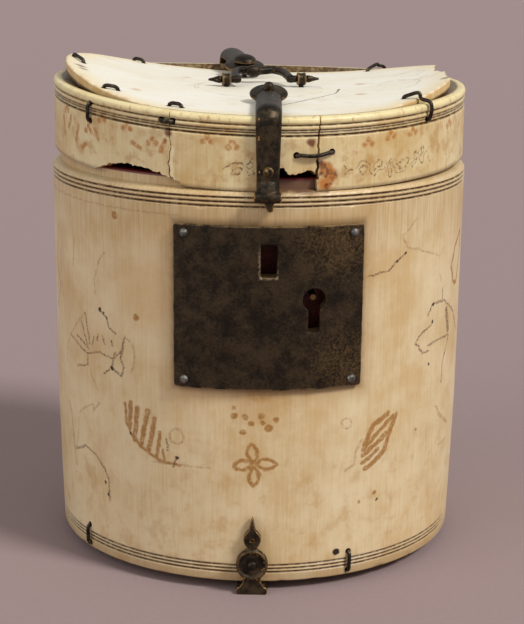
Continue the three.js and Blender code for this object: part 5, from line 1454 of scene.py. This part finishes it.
def plate():
    half = PLATE_HALF_ANGLE * DEGREE * MOULDING_RADIUS
    outline = hand_cut(rectangle(-half, half, PLATE_BOTTOM, PLATE_TOP), 0.8, 1.0)
    sheet = extruded("lock_plate_bent", outline, 0, PLATE_THICKNESS)
    openings = (("slot", slot_outline(0)), ("keyhole", keyhole_outline(0)))
    cutters = [extruded(name, opening, -1, PLATE_THICKNESS + 1) for name, opening in openings]
    combine(sheet, cutters, "DIFFERENCE")
    bevel = sheet.modifiers.new("edge", "BEVEL")
    bevel.width = 0.22 * MM
    bevel.segments = 2
    bevel.limit_method = "ANGLE"
    bevel.angle_limit = SHARP_EDGE * DEGREE
    bake_modifiers(sheet)
    remesh(sheet, PLATE_VOXEL)
    bake_modifiers(sheet)
    points = vertex_array(sheet)
    x, z, _ = points.T
    edges = np.minimum(half - np.abs(x), np.minimum(PLATE_TOP - z, z - PLATE_BOTTOM))
    dents = 0.14 * rough(points * (1, 1, 0), 0.11, 4.0) + 0.06 * rough(points * (1, 1, 0), 0.5, 8.0)
    points[:, 2] += np.minimum(dents, 0.05)
    sheet.data.vertices.foreach_set("co", (bent(points) * MM).astype(np.float32).ravel())
    attribute(sheet, "edge", edges)
    return sheet


def hand_cut(corners, spacing, radius):
    """A closed outline with rounded corners and a slightly uneven edge."""
    points = []
    for i, corner in enumerate(corners):
        before, here = Vector(corners[i - 1]), Vector(corner)
        after = Vector(corners[(i + 1) % len(corners)])
        start = here + (before - here).normalized() * radius
        end = here + (after - here).normalized() * radius
        points += [Vector(p) for p in rounded_corner(start, here, end, 5)]
        stop = after + (here - after).normalized() * radius
        steps = int((stop - end).length / spacing)
        points += [end.lerp(stop, k / steps) for k in range(1, steps)]
    uneven = []
    for p in points:
        shift = 0.12 * noise.noise(Vector((p.x * 0.25, p.y * 0.25, 5)))
        uneven.append((p.x * 0.997 + shift, p.y + shift * 0.8))
    return uneven


place(plate(), "box", "plate_metal", [PLATE_LOOK], ["lock_plate"])


# Rivets and nails
def domed(name, sizes, grip, matrix, body, slot, look):
    """A rivet by its head's radius and rise and its shank's radius; its head stands on local z = 0."""
    head, rise, shank = sizes
    lift, end = 0.15, -grip - 0.15
    profile = [(0, end - 0.7)]
    profile += rounded_corner((shank * 1.2, end - 0.7), (shank * 1.6, end - 0.5), (shank * 1.6, end), 4)
    profile += [(shank, end), (shank, lift), (head, lift)]
    for t in np.linspace(0, math.pi / 2, 9):
        radius = head * math.cos(t) ** 0.8 if t < math.pi / 2 else 0
        profile.append((radius, lift + 0.1 + (rise - 0.1) * math.sin(t)))

    def hammered(points):
        flat, _ = shared(points)
        above = flat[:, 2] > lift + 0.2
        flat[:, 2] += 0.12 * rise * rough(flat, 1.1, sum(matrix.translation)) * above - 0.05 * above
        return flat.reshape(points.shape)

    piece = lathe(f"{name}_domed", profile, 36, hammered)
    place(moved(piece, matrix), body, slot, [look], [name], sharp=SHARP_EDGE)


# Each rivet's head radius, head rise and shank radius
PLATE_RIVET = (1.1, 0.9, 0.6)
FOOT_RIVET = (1.3, 1.1, 0.7)
LEAF_RIVET = (1.4, 1.0, 0.7)
STRAP_RIVET = (1.25, 0.8, 0.7)

case_inner = lining_inner - GAP - 1.0
rivet_heights = (PLATE_TOP - PLATE_RIVET_INSET, PLATE_BOTTOM + PLATE_RIVET_INSET)
rivet_places = [(side, z) for side in (-1, 1) for z in rivet_heights]
for i, (side, z) in enumerate(rivet_places):
    out = float(wall_radius(z)) + GAP + PLATE_THICKNESS
    matrix = radial_frame(LOCK_ANGLE + side * PLATE_RIVET_ANGLE, out, z)
    domed(f"plate_rivet_{i + 1}", PLATE_RIVET, out - case_inner, matrix, "box", "rivet_metal", RIVET_METAL)
for i, angle in enumerate(FOOT_ANGLES):
    out = FOOT_BACK + FOOT_THICKNESS
    matrix = radial_frame(angle, out, FOOT_DISC_Z)
    domed(f"foot_rivet_{i + 1}", FOOT_RIVET, out - lining_inner, matrix, "box", "bronze", DARK_BRONZE)
for i, z in enumerate(LEAF_RIVETS_Z):
    out = LEAF_BACK + LEAF_DEPTH
    matrix = radial_frame(HINGE_ANGLE, out, z)
    domed(f"leaf_rivet_{i + 1}", LEAF_RIVET, out - lining_inner, matrix, "box", "bronze", DARK_BRONZE)
for name, strap in (("front", FRONT_STRAP), ("rear", REAR_STRAP)):
    out = RING_FACE + STRAP_DEPTH
    matrix = radial_frame(strap["angle"], out, strap["rivet_z"])
    domed(f"{name}_strap_rivet", STRAP_RIVET, out - RING_INNER_RADIUS, matrix, "lid", "bronze", BRONZE)


def strap_frame(strap):
    return Matrix.Translation((strap["shift"], 0, 0)) @ turned(strap["turn"])


def disc_under(strap):
    p = strap_frame(strap) @ Vector((0, -strap["terminal_out"], 0))
    return float(disc_top(p.x, p.y))


def terminal_frame(strap):
    """The leaning frame of a strap's terminal, in the strap's own frame."""
    place_at = (0, -strap["terminal_out"], disc_under(strap) + strap["rise"])
    return Matrix.Translation(place_at) @ Matrix.Rotation(strap["lean"] * DEGREE, 4, "X")


def clenched_shank(under, top, end_radius):
    """A round shank whose end is spread out below what it holds."""
    end = [(0, under - 0.8), (end_radius, under - 0.75), (1.2, under)]
    return lathe("shank", [*end, (0.7, under), (0.7, top), (0, top)], 24)


def nail(name, strap):
    radius, rise, seat = strap["head_radius"], strap["head_rise"], DISH_RISE + 0.15
    under = disc_under(strap) - DISC_THICKNESS - 0.15
    top = disc_under(strap) + strap["rise"] + seat + rise / 2
    shank = moved(clenched_shank(under, top, 0.9), Matrix.Translation((0, -strap["terminal_out"], 0)))
    profile = [(0, seat), (radius - 0.1, seat)]
    for t in np.linspace(0, 1.5, 10):
        profile.append((radius * math.cos(t) ** 0.8, seat + 0.1 + (rise - 0.12) * math.sin(t)))
    profile.append((0, seat + rise - 0.02))
    head = moved(lathe(f"{name}_knobbed", profile, 32), terminal_frame(strap))
    combine(head, [shank], "UNION")
    place(moved(head, strap_frame(strap)), "lid", "bronze", [DARK_BRONZE], [name], sharp=SHARP_EDGE)


nail("front_strap_nail", FRONT_STRAP)
nail("rear_strap_nail", REAR_STRAP)


# Straps, leaf, feet and bail: shapes that overlap, melted into one casting
def half_round(width, depth):
    half = width / 2
    arc = []
    for t in np.linspace(0, math.pi, 14):
        arc.append((half * math.cos(t) * 0.999, -0.2 * depth - 0.8 * depth * math.sin(t)))
    return [(half, 0), *arc, (-half, 0)]


def strap_strip(name, path, width, depth, scale=None):
    points = path_through([(0, -out, z) for out, z in path], 0.5)
    return sweep(name, points, half_round(width, depth), side=(1, 0, 0), scale=scale)


def dish(name, strap):
    """A strap's dished terminal. Its profile's radii are shares of the terminal's."""
    under = ((0, 0.45), (0.45, 0.35), (0.85, -0.15), (0.99, -0.35))
    edge = rounded_corner((0.99, -0.3), (1.03, 0.1), (0.93, 0.45), 5)
    upper = ((0.84, 0.62), (0.72, 0.66), (0.6, 0.78), (0.4, 1.02), (0, 1.2))
    profile = [(share * strap["radius"], z) for share, z in (*under, *edge, *upper)]
    return moved(lathe(name, profile, 48), terminal_frame(strap))


def round_bar(name, radius, low, high, place_at, sides=32):
    """A bar along X whose middle line is at (y, z)."""
    lower = rounded_corner((radius - 0.15, low), (radius, low), (radius, low + 0.15), 4)
    upper = rounded_corner((radius, high - 0.15), (radius, high), (radius - 0.15, high), 4)
    piece = lathe(name, [(0, low), *lower, *upper, (0, high)], sides)
    return moved(piece, Matrix.Translation((0, *place_at)) @ SIDEWAYS)


def front_strap():
    top = rim_top(FRONT_STRAP["angle"])
    path = [
        (FRONT_STRAP["terminal_out"] + 2.0, top + 1.0), (40, top + 0.75), (RING_FACE - 4.4, top + 0.4),
        (RING_FACE - 1.3, top + 0.35), (RING_FACE - 0.2, top - 0.2), (RING_FACE + 0.05, top - 1.55),
        (RING_FACE, top - 6), (RING_FACE, RING_BOTTOM + 3.4), (RING_FACE + 0.5, RING_BOTTOM + 1.6),
        (STRAP_FOOT, MOULDING_TOP + 1), (STRAP_FOOT + 0.2, MOULDING_TOP - 0.5),
    ]

    def narrowing(t):
        return 1.0 - 0.14 * min(1, max(0, (t - 0.45) / 0.4)), 1.0

    lip_out, lip_z = STRAP_FOOT + 2.1, MOULDING_TOP + 0.2
    lip_half = STRAP_WIDTH / 2 + 0.1
    stub = extruded("stub", [(-0.9, 0.2), (-0.7, -2), (0.1, -3.5), (1.3, -3.3), (1.5, 0.2)], 0, 1.6)
    shapes = [
        strap_strip("strip", path, STRAP_WIDTH, STRAP_DEPTH, narrowing),
        dish("dish", FRONT_STRAP),
        round_bar("lip", LIP_RADIUS, -lip_half, lip_half, (-lip_out, lip_z)),
        moved(stub, Matrix.Translation((0, -lip_out + 1, lip_z)) @ UPRIGHT),
    ]
    return moved(cast("front_strap_cast", shapes, STRAP_VOXEL, smoothing=3), strap_frame(FRONT_STRAP))


def knuckle(name, centre):
    low, high = centre - KNUCKLE_WIDTH / 2, centre + KNUCKLE_WIDTH / 2
    return round_bar(name, KNUCKLE_RADIUS, low, high, (-HINGE_PIN_OUT, HINGE_PIN_Z), 48)


def hinge_bore():
    return round_bar("bore", HINGE_BORE, -8, 8, (-HINGE_PIN_OUT, HINGE_PIN_Z), 32)


def box_between(name, x0, x1, y0, y1, z0, z1):
    return extruded(name, rectangle(x0, x1, y0, y1), z0, z1)


def rear_strap():
    top = rim_top(REAR_STRAP["angle"])
    path = [
        (REAR_STRAP["terminal_out"] + 2, top + 1.7), (40, top + 1.9), (RING_FACE - 4.4, top + 2),
        (RING_FACE - 1.2, top + 1.6), (RING_FACE + 0.1, top + 0.2), (RING_FACE + 0.15, top - 2.1),
        (RING_FACE, top - 6.6), (RING_FACE, RING_BOTTOM + 4.4), (RING_FACE + 0.3, RING_BOTTOM + 2.4),
        (STRAP_FOOT - 0.3, MOULDING_TOP + 2.5),
    ]
    half = KNUCKLE_WIDTH / 2
    tongue = (-half, half, -HINGE_PIN_OUT + 0.4, -STRAP_FOOT + 0.6, HINGE_PIN_Z, RING_BOTTOM + 2.4)
    shapes = [
        strap_strip("strip", path, STRAP_WIDTH, STRAP_DEPTH),
        dish("dish", REAR_STRAP),
        box_between("tongue", *tongue),
        knuckle("knuckle", 0),
    ]
    piece = cast("rear_strap_cast", shapes, STRAP_VOXEL)
    combine(piece, [hinge_bore()], "DIFFERENCE")
    return moved(piece, strap_frame(REAR_STRAP))


def hinge_leaf():
    low_z, high_z = LEAF_RIVETS_Z
    path = [
        (STRAP_FOOT - 0.1, MOULDING_BOTTOM + 0.3), (STRAP_FOOT - 0.2, MOULDING_BOTTOM - 0.9),
        (LEAF_BACK, MOULDING_BOTTOM - 4.1), (LEAF_BACK, high_z - 3), (LEAF_BACK, low_z - 2.5),
    ]
    radius, back = LEAF_END_RADIUS, LEAF_BACK
    end_profile = [
        (0, back), (radius - 0.3, back), (radius, back + 0.3), (radius, back + 0.9),
        (radius - 0.5, back + 1.35), (0, back + 1.4),
    ]
    end = moved(lathe("end", end_profile, 48), Matrix.Translation((0, 0, low_z)) @ UPRIGHT)
    shapes = [strap_strip("strip", path, STRAP_WIDTH, LEAF_DEPTH), end]
    half = KNUCKLE_WIDTH / 2
    for side in (-1, 1):
        x = side * (KNUCKLE_WIDTH + GAP)
        post = (x - half, x + half, -HINGE_PIN_OUT, -STRAP_FOOT, MOULDING_BOTTOM - 0.5, HINGE_PIN_Z)
        shapes += [knuckle("knuckle", x), box_between("post", *post)]
    piece = cast("hinge_leaf_cast", shapes)
    combine(piece, [hinge_bore()], "DIFFERENCE")
    return moved(piece, turned(HINGE_ANGLE))


place(front_strap(), "lid", "bronze", [BRONZE], ["front_strap"], sharp=None)
place(rear_strap(), "lid", "bronze", [BRONZE], ["rear_strap"], sharp=SHARP_EDGE)
place(hinge_leaf(), "box", "bronze", [BRONZE], ["hinge_leaf"], sharp=SHARP_EDGE)


def mirrored(half):
    """A closed outline from its right half."""
    return half + [(-x, z) for x, z in half][::-1]


def foot(angle, name):
    nail_z, side, radius = FOOT_NAIL_Z, FOOT_HALF_WIDTH, FOOT_DISC_RADIUS
    half = [
        (0.35, FOOT_TIP_Z - 1), (0.6, FOOT_TIP_Z - 2.4), (0.85, nail_z + 2.6), (1.5, nail_z + 1.9),
        (2.15, nail_z + 0.9), (2.2, nail_z - 0.2), (1.75, nail_z - 1.3), (1.1, nail_z - 2.1),
    ]
    for t in range(66, -56, -10):
        half.append((radius * math.cos(t * DEGREE), FOOT_DISC_Z + radius * math.sin(t * DEGREE)))
    flare = [
        (side - 0.9, FOOT_PAD_HEIGHT), (side - 0.3, FOOT_PAD_HEIGHT - 0.3), (side, FOOT_PAD_HEIGHT - 0.9),
        (side, 0.5), (side - 0.3, 0),
    ]
    half += [(2.1, 3.9), (2.3, 3.2), *flare]
    outline = [(0, FOOT_TIP_Z), *mirrored(half)]
    upright = Matrix.Translation((0, -FOOT_BACK, 0)) @ UPRIGHT
    sheet = moved(extruded("plate", outline, 0, FOOT_THICKNESS), upright)
    rim_profile = [
        (radius - 1.1, -0.5), (radius, -0.5), (radius, 0.2), (radius - 0.25, 0.5), (radius - 0.7, 0.5),
        (radius - 1.0, 0.2),
    ]
    rim_place = Matrix.Translation((0, -FOOT_BACK - FOOT_THICKNESS, FOOT_DISC_Z)) @ UPRIGHT
    rim = moved(lathe("rim", rim_profile, 48), rim_place)
    pad = moved(extruded("pad", mirrored(flare), FOOT_PAD_REACH - FOOT_BACK, FOOT_THICKNESS), upright)
    hole = moved(extruded("hole", circle(0.55, 20), 50, 60), Matrix.Translation((0, 0, nail_z)) @ UPRIGHT)
    piece = cast(f"{name}_cast", [sheet, rim, pad])
    combine(piece, [hole], "DIFFERENCE")
    place(moved(piece, turned(angle)), "box", "bronze", [BRONZE], [name], sharp=SHARP_EDGE)


for i, angle in enumerate(FOOT_ANGLES):
    foot(angle, f"foot_{i + 1}")

bail_x, bail_y = BAIL_AXIS_PLACE
bail_frame = Matrix.Translation((bail_x, bail_y, float(disc_top(bail_x, bail_y)) + BAIL_AXIS_HEIGHT))
bail_frame = bail_frame @ turned(BAIL_AXIS_ANGLE)


def bail():
    inner = BAIL_EYE_SPACING / 2 - EYE_WIDTH / 2 - GAP
    outer = BAIL_EYE_SPACING / 2 + EYE_WIDTH / 2 + GAP
    neck, tip = EYE_INNER_RADIUS - GAP, outer + BAIL_TIP_LENGTH
    peg = [
        (0, inner - 2.6), (0.7, inner - 2.5), (0.95, inner - 2.1), (0.95, inner),
        (neck, inner), (neck, outer), (0.95, outer), (1.0, outer + 0.4),
        (0.85, outer + 1.1), (0.5, outer + 2.2), (0.28, tip), (0, tip + 0.02),
    ]
    arm = [
        (inner - 1.2, 0), (inner - 1.5, 1.5), (inner - 1.6, 0.42 * BAIL_REACH),
        (inner - 2.2, 0.85 * BAIL_REACH), (inner - 4.2, 1.14 * BAIL_REACH),
        (inner - 6.3, 1.08 * BAIL_REACH), (0, BAIL_REACH),
    ]
    shapes = []
    for side in (-1, 1):
        shapes.append(moved(lathe("peg", peg, 28), Matrix.Rotation(side * math.pi / 2, 4, "Y")))
        path = path_through([(side * u, w, 0) for u, w in arm], 0.4)
        shapes.append(sweep("arm", path, circle(BAIL_ARM_RADIUS, 20)))
    upper = [(1.6, 1.0), (1.15, 1.4), (1.2, 1.7), (0.9, 1.95), (0, 2.0)]
    boss = [*((radius, -along) for radius, along in reversed(upper)), (1.7, 0), *upper]
    boss_place = Matrix.Translation((BAIL_BOSS_SHIFT, BAIL_REACH, 0)) @ SIDEWAYS
    shapes.append(moved(lathe("boss", boss, 28), boss_place))
    piece = cast("bail_handle_cast", shapes, BAIL_VOXEL)
    return moved(piece, bail_frame @ Matrix.Rotation(BAIL_LEAN * DEGREE, 4, "X"))


place(bail(), "bail", "bronze", [DARK_BRONZE], ["bail_handle"], sharp=None)


def bail_eye(name, along):
    half, inner, outer = EYE_WIDTH / 2, EYE_INNER_RADIUS, EYE_OUTER_RADIUS
    waist = outer - 0.15
    profile = [
        (inner, -half), (outer - 0.2, -half), (outer, -half + 0.25), (waist, -0.3), (waist, 0.3),
        (outer, half - 0.25), (outer - 0.2, half), (inner, half),
    ]
    collar = moved(lathe(f"{name}_collar", profile, 36), SIDEWAYS)
    under = -BAIL_AXIS_HEIGHT - DISC_THICKNESS - GAP - 0.15
    combine(collar, [clenched_shank(under, -(inner + outer) / 2, 1.0)], "UNION")
    moved(collar, bail_frame @ Matrix.Translation((along, 0, 0)))
    place(collar, "lid", "bronze", [DARK_BRONZE], [name], sharp=45)


for i, side in enumerate((-1, 1)):
    bail_eye(f"bail_eye_{i + 1}", side * BAIL_EYE_SPACING / 2)

# The frame's own pieces that stay: the lock's works behind the plate and the hinge's pin
FRAME_LOOKS = dict(
    lock_case=LOCK_DARK, key_post=DARK_BRONZE, bolt_keeper=LOCK_IRON, bolt_guide=LOCK_IRON,
    bolt_spring=LOCK_IRON, lock_bolt=LOCK_IRON, hinge_pin=LOCK_IRON,
)
for name, look in FRAME_LOOKS.items():
    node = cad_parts[name]
    node.data.materials.clear()
    node.data.materials.append(look)

# Floor, light and camera
FLOOR_SIZE = 12.0
SKY_TINT = (1.0, 0.99, 0.98, 1.0)
SKY_POWER = 0.42
KEY_TINT = (1.0, 0.99, 0.97)
KEY_POWER = 2.5
FILL_POWER = 0.75


def stage():
    half = FLOOR_SIZE / 2
    mesh = bpy.data.meshes.new("floor")
    mesh.from_pydata([(x, y, 0) for x, y in rectangle(-half, half, -half, half)], [], [(0, 1, 2, 3)])
    floor = linked("floor", mesh)
    look = Look("floor_paper")
    tone = look.noise(look.object, 900.0, detail=3.0)
    base = look.mix(look.smooth(tone, 0.3, 0.7), colour(148, 128, 127), colour(151, 131, 130))
    mesh.materials.append(look.finish(base, 0.9, tone, depth=0.0001, strength=0.2))


def far_lamp(name, angle, height, softness, power, tint=(1, 1, 1)):
    """A far soft lamp, by its angle round Z from the front, its height and its spread in degrees."""
    data = bpy.data.lights.new(name, "SUN")
    data.energy = power
    data.angle = softness * DEGREE
    data.color = tint
    towards = at(angle, math.cos(height * DEGREE), math.sin(height * DEGREE))
    linked(name, data).rotation_euler = (-towards).to_track_quat("-Z", "Y").to_euler()


stage()
scene = bpy.context.scene
world = bpy.data.worlds.new("studio")
scene.world = world
world.use_nodes = True
backdrop = world.node_tree.nodes["Background"]
backdrop.inputs["Color"].default_value = SKY_TINT
backdrop.inputs["Strength"].default_value = SKY_POWER
far_lamp("key", 57, 45, 14, KEY_POWER, KEY_TINT)
far_lamp("fill", -55, 30, 50, FILL_POWER)
scene.view_settings.view_transform = "Standard"

CAMERA_PLACE = (0.001265, -0.43896, 0.16966)
CAMERA_DOWN = 14.12
CAMERA_ROLL = 0.619
CAMERA_LENS = 94.85
camera_data = bpy.data.cameras.new("camera")
camera_data.lens = CAMERA_LENS
camera_data.sensor_width = 36.0
camera = linked("camera", camera_data)
tilt = Matrix.Rotation((90 - CAMERA_DOWN) * DEGREE, 4, "X") @ turned(CAMERA_ROLL)
camera.matrix_world = Matrix.Translation(CAMERA_PLACE) @ tilt
scene.camera = camera
